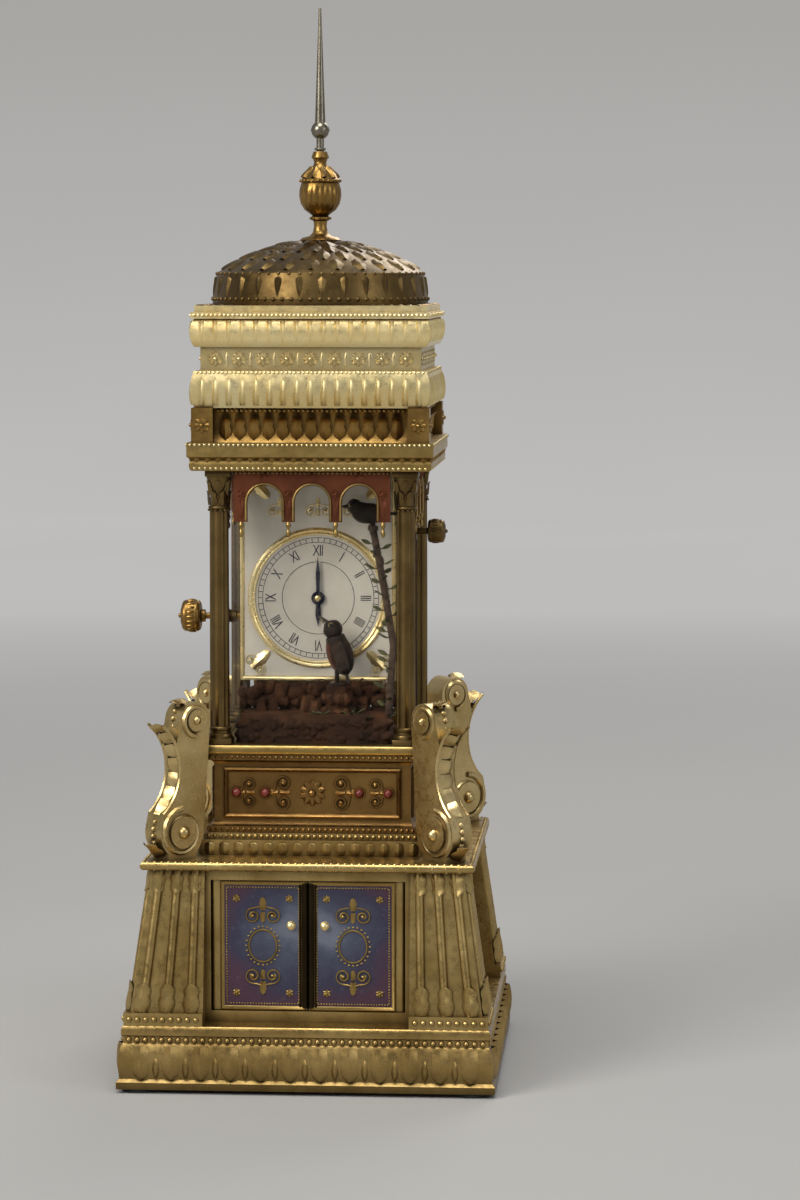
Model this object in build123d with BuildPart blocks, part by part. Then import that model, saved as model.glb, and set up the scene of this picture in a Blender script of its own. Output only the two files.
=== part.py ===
from build123d import *
from math import atan2, cos, degrees, radians, sin
import os

# A table clock with a singing bird, 500 mm high, in millimetres.
# Origin under the middle of the foot pads, +Z up, the front faces -Y.

# Clearances
running = 0.05
slip = 0.02
free_gap = 0.3
mitre_gap = 0.04
thread_gap = 0.02

# Heights of the courses, from the table up
foot_height = 2.0
plinth_height = 29.0
body_height = 71.0
ledge_height = 4.0
step_height = 10.0
stage_height = 37.0
floor_height = 4.0
column_height = 128.0
architrave_height = 13.0
frieze_height = 16.0
cornice_height = 44.0
roof_height = 3.0
drum_height = 15.0
cap_height = 15.0
stem_height = 12.0
urn_height = 23.0
neck_height = 7.0
needle_height = 67.0

# Half widths of the lower courses: the plinth sets the rest
plinth_half = 87.2
plinth_batter = 2.2
pier_setback = 3.0
pier_batter = 10.0
pier_width = 34.5
frame_recess = 2.0
ledge_overhang = 5.0
plinth_top_half = plinth_half - plinth_batter
pier_foot_half = plinth_top_half - pier_setback
pier_inner_half = pier_foot_half - pier_width
pier_head_half = pier_foot_half - pier_batter
frame_front = pier_head_half - frame_recess
ledge_half = pier_head_half + ledge_overhang

# Half widths of the upper courses: the lantern columns set the rest
column_half = 43.5
floor_margin = 6.5
stage_setback = 4.0
step_margin = 6.0
band_overhang = 10.0
architrave_margin = 3.5
frieze_setback = 2.5
dome_setback = 4.5
floor_half = column_half + floor_margin
stage_half = floor_half - stage_setback
step_half = stage_half + step_margin
band_half = column_half + band_overhang
architrave_half = band_half + architrave_margin
frieze_half = band_half - frieze_setback
dome_radius = band_half - dome_setback

# Plinth and foot pads
foot_radius = 9.0
foot_inset = 10.2
foot_half = plinth_half - foot_inset
plinth_wall = 18.0
plinth_board = 5.0
plinth_fillet = 4.0
plinth_bulge_height = 17.0
plinth_bulge = 2.8
plinth_bulge_setback = 1.0

# Lower body
reed_radius = 2.0
reed_count = 3
pier_block = 6.0
pier_block_proud = 2.0
frame_bar = 2.5
frame_rail = 5.0
frame_depth = 7.0
panel_thickness = 2.0
leaf_thickness = 3.0
leaf_border = 3.5
leaf_pocket = 0.8
meeting_gap = 0.6
leaf_knob_radius = 1.6
leaf_knob_reach = 2.6
leaf_knob_x = 7.8
leaf_knob_rise = 40.0
leaf_recess = 1.0
pivot_radius = 1.0
pivot_length = 2.5
cover_thickness = 1.5
cover_lap = 1.6
screw_radius = 1.0
screw_head_radius = 2.2
screw_head_height = 1.2
screw_length = 6.0
screw_side_inset = 9.0
screw_clearance = 0.1
cover_inset = 1.0
key_hole_radius = 4.0

# Ledge, stage and lantern floor
ledge_bulge = 2.0
upper_step_inset = 2.0
upper_step_height = 3.0
stage_wall = 4.0
stage_lip = 3.0
stage_lip_height = 3.0
stage_cove = 1.0
floor_round = 1.0

# Corner scrolls, in the diagonal plane, set out from the corner of the lantern floor
scroll_thickness = 12.0
volute_proud = 1.2
big_volute_radius = 12.5
big_volute_reach = 17.8
small_volute_radius = 8.5
small_volute_reach = 9.8
small_volute_rise = 64.0
scroll_foot_width = 16.0
scroll_foot_height = 4.0
bite_radius = 26.0
bite_reach = 44.8
bite_rise = 42.0
eye_share = 0.6

# Lantern
column_radius = 4.5
column_base_radius = 5.8
column_block = 12.0
column_block_height = 3.0
column_torus_height = 3.5
column_torus_bulge = 1.0
capital_flare = 0.6
capital_height = 7.0
glass_thickness = 1.5
bay_half = column_half - column_block / 2
glass_half = bay_half - free_gap
valance_thickness = 1.5
valance_margin = 1.0
valance_half = bay_half - valance_margin
valance_drop = 24.0
valance_stand = 0.6
arch_pitch = 22.0
arch_radius = 8.0
arch_crown = 7.0
bay_gap = 0.5
rear_leaf_half = bay_half - bay_gap
rear_leaf_thickness = 3.0
rear_leaf_border = 5.0
rear_knob_radius = 2.5
rear_knob_reach = 5.0

# Entablature and dome
architrave_soffit = 4.0
architrave_wall = 10.0
architrave_round = 2.0
frieze_wall = 6.0
frieze_cove = 3.0
corner_block = 10.0
corner_block_proud = 4.0
cornice_wall = 7.0
lower_band_height = 17.0
middle_band_height = 11.0
band_bulge = 2.0
middle_band_inset = 2.5
upper_lip_height = 3.0
upper_lip_proud = 1.5
dome_wall = 2.5
dome_lip = 2.0
dome_lip_height = 3.0

# Urn and spire
stem_radius = 3.2
stem_foot_radius = 7.0
stem_foot_height = 3.0
stem_foot_sag = 0.6
urn_radius = 10.0
urn_shoulder_share = 0.55
urn_belly_bulge = 2.5
urn_shoulder_bulge = 1.5
urn_neck_sag = 0.8
urn_lip_radius = 5.5
neck_radius = 3.2
spire_stem_radius = 1.8
spire_ball_radius = 4.3
spire_ball_rise = 10.0
needle_foot_radius = 2.6
needle_tip_radius = 0.6

# Rock and branch
rock_height = 19.0
rock_margin = 3.0
rock_depth = 30.0
rock_front = column_half - rock_margin
rock_back = rock_front - rock_depth
rock_half = bay_half - bay_gap
rock_corner = 5.0
rock_bed_share = 0.7
rock_taper = 12.0
lump_count = 11
lump_radius = 8.0
lump_height = 23.0
perch_rock_radius = 6.5
perch_rock_sides = 9
perch_rock_taper = 3.0
branch_radius = 1.7
branch_bend = 14.0
branch_root_share = 0.6
branch_root_inset = 3.0
branch_elbow_inset = 0.5
branch_elbow_rise = 45.0
branch_bough_inset = 5.0
branch_bough_rise = 74.0
branch_sway = 1.5
branch_pad = 0.8
branch_pin_radius = 0.7

# Clock movement
dial_centre_rise = 66.0
dial_half = bay_half - bay_gap
dial_low_rise = 27.0
dial_high_rise = 127.0
dial_thickness = 1.5
dial_front = 14.5
dial_foot_radius = 1.5
dial_foot_half = 25.0
motion_stud_tip = 0.6
plate_thickness = 1.5
front_plate_front = 9.0
movement_depth = 23.5
plate_half = 28.0
plate_rise = 88.0
seat_height = 27.0
seat_half = 30.0
seat_wall = 3.0
pillar_radius = 2.0
pillar_inset = 5.0
arbor_radius = 0.8
pivot_hole = arbor_radius + running
wheel_thickness = 1.2
pinion_face = 3.0
barrel_radius = 16.0
barrel_length = 12.0
great_teeth = 72
centre_pinion_teeth = 12
great_module = 0.55
centre_teeth = 60
third_pinion_teeth = 10
centre_module = 0.4
barrel_direction = 90.0
third_direction = 210.0
escape_direction = 320.0
motion_direction = 300.0
pallet_direction = -10.0
balance_direction = -15.0
third_teeth = 60
escape_pinion_teeth = 10
third_module = 0.36
escape_teeth = 15
escape_module = 0.7
motion_teeth = 36
cannon_teeth = 12
motion_module = 0.4
hour_teeth = 40
motion_pinion_teeth = 10
cannon_pipe_radius = 1.6
hour_pipe_radius = 2.4
balance_radius = 8.0
balance_rim = 1.4
balance_arm_width = 1.4
balance_hub_radius = 1.8
balance_layer = 3.5
pallet_gap = 4.0
pallet_span = 7.0
pallet_width = 1.4
pallet_tilt = 80.0
fork_length = 5.2
fork_width = 1.2
fork_counterpoise = 1.5
fork_counterpoise_reach = 2.3
centre_wheel_layer = 3.0
wheel_layer = 4.0
great_wheel_layer = 2.0
winding_square = 1.95
winding_square_length = 8.0
window_share = 0.36
centre_windows = (10.5, 3.0)
third_windows = (9.4, 2.6)
escape_windows = (4.2, 1.6)
minute_hand_length = 20.0
hour_hand_length = 13.5
hand_thickness = 0.6
hand_gap = 0.6
hand_boss = 0.8
hand_belly_share = 0.6

# Knobs at the sides of the lantern
shaft_radius = 1.5
bush_radius = 3.0
bush_flange_radius = 4.5
bush_flange = 1.5
bush_nose = 2.5
start_knob_rise = 56.0
start_knob_radius = 7.5
start_knob_length = 9.0
start_knob_out = 66.5
start_travel = 4.0
start_shaft_tail = 3.45
collar_length = 1.5
collar_margin = 0.5
knob_lap = 1.0
set_knob_rise = 97.0
set_knob_radius = 5.5
set_knob_length = 8.0
set_knob_out = 59.0
set_shaft_gap = 2.5
set_flange_length = 2.0

# Song movement in the lower body
bed_thickness = 3.0
bed_end_gap = 7.0
bed_side_gap = 19.0
song_plate_front = 22.0
song_depth = 30.0
song_plate_low_x = -44.0
song_plate_high_x = 2.0
song_plate_rise = 58.0
song_barrel_x = -25.0
song_barrel_rise = 22.0
song_barrel_radius = 13.0
song_barrel_length = 8.0
song_great_teeth = 60
song_pinion_teeth = 12
song_module = 0.5
song_direction = 35.0
fly_teeth = 48
fly_pinion_teeth = 8
fly_module = 0.4
fly_direction = 80.0
cam_radius = 5.5
cam_lift = 0.8
cam_count = 4
cam_pitch = 2.4
cam_thickness = 1.2
cam_clearance = 2.5
vane_half = 7.0
vane_width = 5.0
vane_thickness = 0.6
lever_pivot_x = -34.0
lever_rise = 55.0
lever_width = 3.0
lever_thickness = 2.0
lever_tip_half = 2.0
bellows_x = 31.0
bellows_half = 17.0
bellows_front = 40.0
bellows_back = 18.0
bellows_rise = 16.0
bellows_board_thickness = 2.0
bellows_depth = 8.0
bellows_support = 2.0
bellows_support_share = 0.6
bellows_pin_radius = 0.8
bellows_barrel_radius = 1.0
bellows_ear = 1.6
bellows_ear_half = 2.0
leather_inset = 1.0
whistle_radius = 4.0
whistle_bore = 3.2
whistle_length = 34.0
whistle_rise = 46.0
piston_length = 8.0
piston_rod = 26.0
whistle_plug = 2.0
whistle_post = 2.0
whistle_post_gap = 1.5
whistle_post_inset = 8.0
whistle_post_depth = 8.0
rod_radius = 1.2
rod_top_gap = 3.5

# Main bird, leaning back with its beak up to the left
bird_x = 11.5
bird_y = -28.0
bird_rise = 41.0
bird_half_length = 10.0
bird_radius = 5.8
bird_lean = 107.0
head_reach = 12.0
head_radius = 4.4
beak_angle = 135.0
beak_length = 5.4
beak_radius = 1.7
neck_pin_radius = 0.8
beak_root_share = 0.8
beak_slit = 0.15
beak_drop = 0.45
beak_pin_reach = 0.85
beak_pin_drop = 0.45
lower_beak_share = 0.75
lower_beak_shorter = 0.8
wing_length = 14.0
wing_width = 6.4
wing_thickness = 1.2
wing_hinge_length = 6.0
flick_hinge_radius = 0.5
tail_length = 5.0
tail_width = 6.0
tail_root_half = 1.5
tail_thickness = 1.2
tail_cut = 1.6
turntable_radius = 4.0
turntable_height = 1.0
spindle_radius = 1.5
spindle_length = 8.0
leg_radius = 1.1
leg_share = 0.7
perch_x = 10.0
perch_rise = 26.0

# Second bird, high at the right on its branch
second_x = 25.0
second_rise = 107.0
second_half_length = 8.0
second_radius = 4.6
second_head_radius = 3.4
second_head_reach = 0.85
second_head_lift = 0.7
second_beak_radius = 1.2
second_beak_length = 4.0
second_beak_taper = 14.0
second_tail_margin = 1.5
second_tail_half = 2.5
second_leg_radius = 1.0
second_perch_x = 27.0
second_perch_rise = 100.0

# Levels and places worked out from the sizes above
plinth_low = foot_height
body_low = plinth_low + plinth_height
ledge_low = body_low + body_height
step_low = ledge_low + ledge_height
stage_low = step_low + step_height
floor_low = stage_low + stage_height
lantern_low = floor_low + floor_height
lantern_high = lantern_low + column_height
frieze_low = lantern_high + architrave_height
cornice_low = frieze_low + frieze_height
roof_low = cornice_low + cornice_height
dome_low = roof_low + roof_height
finial_low = dome_low + drum_height + cap_height
neck_low = finial_low + stem_height + urn_height
spire_low = neck_low + neck_height
opening_half = pier_inner_half - frame_bar
screw_half = opening_half - screw_side_inset
opening_low = body_low + frame_rail
opening_high = ledge_low - frame_rail
frame_back = frame_front - frame_depth
bed_half_x = frame_back - bed_end_gap
bed_half_y = frame_back - bed_side_gap
leaf_y = -(frame_front - leaf_thickness / 2 - leaf_recess)
leaf_pivot_x = opening_half - free_gap - leaf_thickness / 2
dial_z = lantern_low + dial_centre_rise
plate_front_y = -front_plate_front
back_plate_y = plate_front_y + movement_depth
plates_low = lantern_low + seat_height
bed_top = body_low + bed_thickness
song_front_y = -song_plate_front
song_back_y = song_front_y + song_depth
rod_x = perch_x
rod_y = bird_y
perch_z = lantern_low + perch_rise


def save(piece, name):
    piece.part.label = name
    export_step(piece.part, f"parts/{name}.step")


def front_plane(x, y, z):
    # A plane that faces the front: its own x is +X and its own y is +Z.
    return Plane(origin=(x, y, z), x_dir=(1, 0, 0), z_dir=(0, -1, 0))


def side_plane(x, y, z):
    # A plane that faces +X: its own x is +Y and its own y is +Z.
    return Plane(origin=(x, y, z), x_dir=(0, 1, 0), z_dir=(1, 0, 0))


def disc(x, z, back, length, radius, mode=Mode.ADD):
    # A round along Y from its back face, towards the front.
    with BuildSketch(front_plane(x, back, z), mode=Mode.PRIVATE) as face:
        Circle(radius)
    extrude(face.sketch, amount=length, mode=mode)


def cross_round(x, y, z, length, radius, mode=Mode.ADD):
    # A round along +X from its left end.
    with BuildSketch(side_plane(x, y, z), mode=Mode.PRIVATE) as face:
        Circle(radius)
    extrude(face.sketch, amount=length, mode=mode)


def upright(x, y, low, length, radius, mode=Mode.ADD):
    # A round along +Z from its foot.
    with BuildSketch(Plane((x, y, low)), mode=Mode.PRIVATE) as face:
        Circle(radius)
    extrude(face.sketch, amount=length, mode=mode)


def block(x, y, z, mode=Mode.ADD):
    # A box between two limits on each axis.
    centre = ((x[0] + x[1]) / 2, (y[0] + y[1]) / 2, (z[0] + z[1]) / 2)
    with Locations(centre):
        Box(abs(x[1] - x[0]), abs(y[1] - y[0]), abs(z[1] - z[0]), mode=mode)


def moulding_face(plane, start, steps, inner):
    # The section of a moulding: each step is a half width, a height and a bulge outwards.
    with BuildSketch(plane, mode=Mode.PRIVATE) as face:
        with BuildLine():
            point = start
            Line((inner, start[1]), start)
            for half, height, bulge in steps:
                if bulge:
                    SagittaArc(point, (half, height), -bulge)
                else:
                    Line(point, (half, height))
                point = (half, height)
            Line(point, (inner, point[1]))
            Line((inner, point[1]), (inner, start[1]))
        make_face()
    return face.sketch


def square_block(start, steps):
    # A square block with the same moulding on all four sides.
    reach = max(half for half, _, _ in steps) + max(start[0], 1)
    for plane, mode in ((Plane.XZ, Mode.ADD), (Plane.YZ, Mode.INTERSECT)):
        half_face = moulding_face(plane, start, steps, 0)
        with BuildSketch(plane, mode=Mode.PRIVATE) as both_halves:
            add(plane.to_local_coords(half_face))
            mirror(about=Plane.YZ)
        extrude(both_halves.sketch, amount=reach, both=True, mode=mode)


def mitred_bar(start, steps, inner):
    # One bar of a square frame, on the +Y side, mitred at both ends.
    reach = max(half for half, _, _ in steps) + max(start[0], 1)
    height = steps[-1][1] - start[1]
    with BuildPart() as bar:
        extrude(moulding_face(Plane.YZ, start, steps, inner), amount=reach, both=True)
        with BuildSketch(Plane.XY.offset(start[1])):
            corner = reach + mitre_gap
            Polygon((0, mitre_gap), (reach, corner), (-reach, corner), align=None)
        extrude(amount=height, mode=Mode.INTERSECT)
    return bar.part


def toothed(x, z, back, thickness, teeth, module, phase, mode=Mode.ADD):
    # A toothed disc about Y: one tooth points along the phase angle, from +X towards +Z.
    radius = teeth * module / 2
    root = radius - 1.15 * module
    tip = radius + 0.8 * module
    step = 360 / teeth
    flank = ((root, -0.22), (tip, -0.09), (tip, 0.09), (root, 0.22))
    outline = []
    for tooth in range(teeth):
        for distance, share in flank:
            angle = radians(phase + (tooth + share) * step)
            outline.append((distance * cos(angle), distance * sin(angle)))
    with BuildSketch(front_plane(x, back, z), mode=Mode.PRIVATE) as face:
        Polygon(*outline, align=None)
    extrude(face.sketch, amount=thickness, mode=mode)


def crossed_out(x, z, back, thickness, radius, hub):
    # Round windows between the spokes of a wheel.
    middle = (radius + hub) / 2
    window = (radius - hub) * window_share
    with BuildSketch(front_plane(x, back, z), mode=Mode.PRIVATE) as face:
        with PolarLocations(middle, 5):
            Circle(window)
    extrude(face.sketch, amount=thickness, mode=Mode.SUBTRACT)


def facing(first, second):
    # The angle from one arbor to the next.
    return degrees(atan2(second[1] - first[1], second[0] - first[0]))


def gap_phase(first, second, teeth):
    # The phase that turns a gap of the second wheel towards the first.
    return facing(second, first) + 180 / teeth


def step_to(place, angle, reach):
    # The place at a distance from another, at an angle from +X towards +Z.
    return (place[0] + reach * cos(radians(angle)), place[1] + reach * sin(radians(angle)))


def next_arbor(centre, angle, teeth, pinion, module):
    return step_to(centre, angle, (teeth + pinion) * module / 2)


# Foot pads
with BuildPart() as foot_pads:
    with GridLocations(2 * foot_half, 2 * foot_half, 2, 2):
        Cylinder(foot_radius, foot_height, align=(Align.CENTER, Align.CENTER, Align.MIN))
save(foot_pads, "foot_pads")

# Plinth of four mitred mouldings round the base board
bulge_low = plinth_low + plinth_fillet
bulge_high = bulge_low + plinth_bulge_height
fillet_half = plinth_top_half + plinth_bulge_setback
plinth_inner = plinth_top_half - plinth_wall
plinth_bar = mitred_bar(
    (plinth_half, plinth_low),
    [
        (plinth_half, bulge_low, 0),
        (fillet_half, bulge_high, plinth_bulge),
        (plinth_top_half, bulge_high + plinth_bulge_setback, 0),
        (plinth_top_half, body_low, 0),
    ],
    plinth_inner,
)
with BuildPart() as plinth:
    with PolarLocations(0, 4):
        add(plinth_bar)
    board = plinth_inner - slip
    block((-board, board), (-board, board), (body_low - plinth_board, body_low))
save(plinth, "plinth")

# Battered corner piers with reeds on their two outer faces
with BuildPart() as pier:
    foot_width = pier_foot_half - pier_inner_half
    head_width = pier_head_half - pier_inner_half
    reed_low = body_low + pier_block
    for level, width in ((body_low, foot_width), (ledge_low, head_width)):
        middle = pier_inner_half + width / 2
        with BuildSketch(Plane((middle, middle, level))):
            Rectangle(width, width)
    loft()
    for reed in range(reed_count):
        share = (reed + 0.5) / reed_count
        for turned in (False, True):
            for level, half in ((body_low, pier_foot_half), (ledge_low, pier_head_half)):
                along = pier_inner_half + share * (half - pier_inner_half)
                place = (half, along, level) if turned else (along, half, level)
                with BuildSketch(Plane(place)):
                    Circle(reed_radius)
            loft()
    block_high = pier_foot_half + pier_block_proud
    block(
        (pier_inner_half, block_high),
        (pier_inner_half, block_high),
        (body_low, reed_low),
    )
with BuildPart() as corner_piers:
    with PolarLocations(0, 4):
        add(pier.part)
save(corner_piers, "corner_piers")

# Frames of the four walls, each of two stiles and two rails
with BuildPart() as wall_frame:
    outer = pier_inner_half
    across = (-frame_front, -frame_back)
    for side in (-1, 1):
        stile = (side * opening_half, side * outer)
        block(stile, across, (opening_low + slip, opening_high - slip))
    block((-outer, outer), across, (body_low, opening_low))
    block((-outer, outer), across, (opening_high, ledge_low))
with BuildPart() as wall_frames:
    with PolarLocations(0, 4):
        add(wall_frame.part)
    for side in (-1, 1):
        for low, sign in ((opening_low, -1), (opening_high, 1)):
            depth = pivot_length + free_gap
            start = low - depth if sign < 0 else low
            upright(side * leaf_pivot_x, leaf_y, start, depth, pivot_radius + running, Mode.SUBTRACT)
    for screw_x in (-screw_half, screw_half):
        for screw_z in (body_low + frame_rail / 2, ledge_low - frame_rail / 2):
            disc(screw_x, screw_z, frame_front, screw_length, screw_radius + thread_gap, Mode.SUBTRACT)
save(wall_frames, "wall_frames")


def door_leaf(side):
    # A leaf that turns on a pivot in each rail, with a pocket for its enamel.
    low = opening_low + free_gap
    high = opening_high - free_gap
    front = leaf_y - leaf_thickness / 2
    with BuildPart() as leaf:
        block(
            (side * meeting_gap / 2, side * leaf_pivot_x),
            (front, leaf_y + leaf_thickness / 2),
            (low, high),
        )
        block(
            (side * (meeting_gap / 2 + leaf_border), side * (leaf_pivot_x - leaf_border)),
            (front, front + leaf_pocket),
            (low + leaf_border, high - leaf_border),
            Mode.SUBTRACT,
        )
        upright(side * leaf_pivot_x, leaf_y, low, high - low, leaf_thickness / 2)
        for start in (low - pivot_length, high):
            upright(side * leaf_pivot_x, leaf_y, start, pivot_length, pivot_radius)
        knob_z = opening_low + leaf_knob_rise
        disc(side * leaf_knob_x, knob_z, front + leaf_pocket, leaf_knob_reach, leaf_knob_radius)
    return leaf


save(door_leaf(-1), "left_door")
save(door_leaf(1), "right_door")

# Enamel side panels
with BuildPart() as side_panels:
    middle = (frame_front + frame_back) / 2
    for side in (-1, 1):
        block(
            (side * (middle - panel_thickness / 2), side * (middle + panel_thickness / 2)),
            (-opening_half, opening_half),
            (opening_low, opening_high),
        )
save(side_panels, "side_panels")

# Back cover with a hole for the song key, and its screws
song_barrel_z = bed_top + song_barrel_rise
with BuildPart() as back_cover:
    block(
        (-opening_half - cover_lap, opening_half + cover_lap),
        (frame_front, frame_front + cover_thickness),
        (body_low + cover_inset, ledge_low - cover_inset),
    )
    cover_back = frame_front + cover_thickness
    disc(song_barrel_x, song_barrel_z, cover_back, cover_thickness, key_hole_radius, Mode.SUBTRACT)
    for screw_x in (-screw_half, screw_half):
        for screw_z in (body_low + frame_rail / 2, ledge_low - frame_rail / 2):
            hole_radius = screw_radius + screw_clearance
            disc(screw_x, screw_z, cover_back, cover_thickness, hole_radius, Mode.SUBTRACT)
save(back_cover, "back_cover")

with BuildPart() as back_cover_screws:
    shank = cover_thickness + screw_length - free_gap
    for screw_x in (-screw_half, screw_half):
        for screw_z in (body_low + frame_rail / 2, ledge_low - frame_rail / 2):
            disc(screw_x, screw_z, cover_back, shank, screw_radius)
            disc(screw_x, screw_z, cover_back + screw_head_height, screw_head_height, screw_head_radius)
save(back_cover_screws, "back_cover_screws")

# Ledge over the lower body, and the four stepped bars that carry the stage
upper_step_low = stage_low - upper_step_height
upper_half = step_half - upper_step_inset
stage_inner = stage_half - stage_wall
step_bar = mitred_bar(
    (step_half, step_low + slip),
    [(step_half, upper_step_low, 0), (upper_half, upper_step_low, 0), (upper_half, stage_low, 0)],
    stage_inner,
)
with BuildPart() as body_cornice:
    square_block(
        (ledge_half - ledge_bulge, ledge_low),
        [(ledge_half - ledge_bulge, step_low, ledge_bulge)],
    )
    upright(rod_x, rod_y, ledge_low, ledge_height, rod_radius + running, Mode.SUBTRACT)
    with PolarLocations(0, 4):
        add(step_bar)
save(body_cornice, "body_cornice")

# Walls of the middle stage
lip_half = stage_half + stage_lip
stage_bar = mitred_bar(
    (lip_half, stage_low),
    [
        (lip_half, stage_low + stage_lip_height, 0),
        (stage_half, stage_low + 2 * stage_lip_height, -stage_cove),
        (stage_half, floor_low - 2 * stage_lip_height, 0),
        (lip_half, floor_low - stage_lip_height, -stage_cove),
        (lip_half, floor_low, 0),
    ],
    stage_inner,
)
with BuildPart() as stage_walls:
    with PolarLocations(0, 4):
        add(stage_bar)
save(stage_walls, "stage_walls")

# Scroll consoles that stand on the ledge, one across each corner
with BuildPart() as scroll:
    diagonal = Plane(origin=(0, 0, 0), x_dir=(1, 1, 0), z_dir=(1, -1, 0))
    floor_corner = floor_half * 2**0.5
    big_centre = (floor_corner + big_volute_reach, step_low + big_volute_radius)
    small_centre = (floor_corner + small_volute_reach, step_low + small_volute_rise)
    with BuildSketch(diagonal):
        with Locations(big_centre):
            Circle(big_volute_radius)
        with Locations(small_centre):
            Circle(small_volute_radius)
        make_hull()
        with Locations((floor_corner + bite_reach, step_low + bite_rise)):
            Circle(bite_radius, mode=Mode.SUBTRACT)
        with Locations(big_centre):
            Circle(big_volute_radius)
        with Locations(small_centre):
            Circle(small_volute_radius)
        with Locations((big_centre[0], step_low + scroll_foot_height / 2)):
            Rectangle(scroll_foot_width, scroll_foot_height)
    extrude(amount=scroll_thickness / 2, both=True)
    with BuildSketch(diagonal):
        with Locations(big_centre):
            Circle(big_volute_radius * eye_share)
        with Locations(small_centre):
            Circle(small_volute_radius * eye_share)
    extrude(amount=scroll_thickness / 2 + volute_proud, both=True)
with BuildPart() as corner_scrolls:
    with PolarLocations(0, 4):
        add(scroll.part)
save(corner_scrolls, "corner_scrolls")

# Lantern floor
with BuildPart() as lantern_floor:
    square_block((floor_half, floor_low), [(floor_half, lantern_low, floor_round)])
    upright(rod_x, rod_y, floor_low, floor_height, rod_radius + running, Mode.SUBTRACT)
    rear_y = column_half
    rear_pivot_x = rear_leaf_half - rear_leaf_thickness / 2
    depth = pivot_length + free_gap
    upright(rear_pivot_x, rear_y, lantern_low - depth, depth, pivot_radius + running, Mode.SUBTRACT)
save(lantern_floor, "lantern_floor")

# Branch that carries the second bird
branch_top = lantern_low + second_perch_rise
branch_root = lantern_low + rock_height * branch_root_share
with BuildPart() as perch_branch:
    with BuildLine() as branch_line:
        FilletPolyline(
            (rock_half - branch_root_inset, bird_y + branch_sway, branch_root),
            (rock_half - branch_elbow_inset, bird_y + branch_sway, lantern_low + branch_elbow_rise),
            (rock_half - branch_bough_inset, bird_y - branch_sway, lantern_low + branch_bough_rise),
            (second_perch_x, bird_y, branch_top),
            radius=branch_bend,
        )
    with BuildSketch(Plane(origin=branch_line.line @ 0, z_dir=branch_line.line % 0)):
        Circle(branch_radius)
    sweep()
    perch_disc_low = branch_top - 1.0
    upright(second_perch_x, bird_y, perch_disc_low, 2.0, branch_radius + branch_pad)
    upright(second_perch_x, bird_y, branch_top - 2.0, 4.0, branch_pin_radius + running, Mode.SUBTRACT)
save(perch_branch, "perch_branch")

# Rock mound in front of the dial: a tapered heap with lumps round it
with BuildPart() as rock_mound:
    rock_middle = -(rock_front + rock_back) / 2
    with BuildSketch(Plane((0, rock_middle, lantern_low))):
        RectangleRounded(2 * rock_half, rock_depth, rock_corner)
    extrude(amount=rock_height * rock_bed_share, taper=rock_taper)
    for lump in range(lump_count):
        share = (lump + 0.5) / lump_count
        lump_x = (rock_half - lump_radius) * (2 * share - 1)
        lump_y = rock_middle + (rock_depth / 2 - lump_radius) * sin(2.4 * lump)
        rise = lump_height * (0.72 + 0.22 * sin(1.7 * lump + 0.5))
        with BuildSketch(Plane((lump_x, lump_y, lantern_low))):
            RegularPolygon(lump_radius * (0.8 + 0.18 * sin(3.1 * lump)), 5 + lump % 3, rotation=37 * lump)
        extrude(amount=rise, taper=rock_taper)
    with BuildSketch(Plane((perch_x, bird_y, lantern_low))):
        RegularPolygon(perch_rock_radius, perch_rock_sides)
    extrude(amount=perch_rise, taper=perch_rock_taper)
    spindle_low = perch_z - spindle_length
    upright(perch_x, bird_y, spindle_low, spindle_length, spindle_radius + running, Mode.SUBTRACT)
    upright(rod_x, rod_y, lantern_low, perch_rise, rod_radius + 2 * running, Mode.SUBTRACT)
    add(perch_branch.part, mode=Mode.SUBTRACT)
save(rock_mound, "rock_mound")

# Corner columns
with BuildPart() as column:
    base_low = lantern_low + column_block_height
    shaft_low = base_low + column_torus_height
    capital_low = lantern_high - column_block_height - capital_height
    capital_high = lantern_high - column_block_height
    with BuildSketch(Plane.XZ):
        with BuildLine():
            torus_edge = column_base_radius - column_torus_bulge
            Line((0, base_low), (torus_edge, base_low))
            SagittaArc((torus_edge, base_low), (torus_edge, shaft_low), -column_torus_bulge)
            Line((torus_edge, shaft_low), (column_radius, shaft_low))
            Line((column_radius, shaft_low), (column_radius, capital_low))
            SagittaArc((column_radius, capital_low), (column_base_radius, capital_high), capital_flare)
            Line((column_base_radius, capital_high), (0, capital_high))
            Line((0, capital_high), (0, base_low))
        make_face()
    revolve(axis=Axis.Z)
    half_block = column_block / 2
    for low in (lantern_low, capital_high):
        block((-half_block, half_block), (-half_block, half_block), (low, low + column_block_height))
with BuildPart() as lantern_columns:
    with GridLocations(2 * column_half, 2 * column_half, 2, 2):
        add(column.part)
save(lantern_columns, "lantern_columns")

# Panes at the front and sides; the side panes are holed for the knob bushes
start_z = lantern_low + start_knob_rise
set_z = lantern_low + set_knob_rise
with BuildPart() as lantern_glass:
    half_pane = glass_thickness / 2
    pane = (-column_half - half_pane, -column_half + half_pane)
    block((-glass_half, glass_half), pane, (lantern_low, lantern_high))
    for side in (-1, 1):
        side_pane = (side * (column_half - half_pane), side * (column_half + half_pane))
        block(side_pane, (-glass_half, glass_half), (lantern_low, lantern_high))
    hole = bush_radius + running
    pane_outside = column_half + half_pane
    cross_round(-pane_outside, 0, start_z, glass_thickness, hole, Mode.SUBTRACT)
    cross_round(column_half - half_pane, 0, set_z, glass_thickness, hole, Mode.SUBTRACT)
save(lantern_glass, "lantern_glass")

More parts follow.
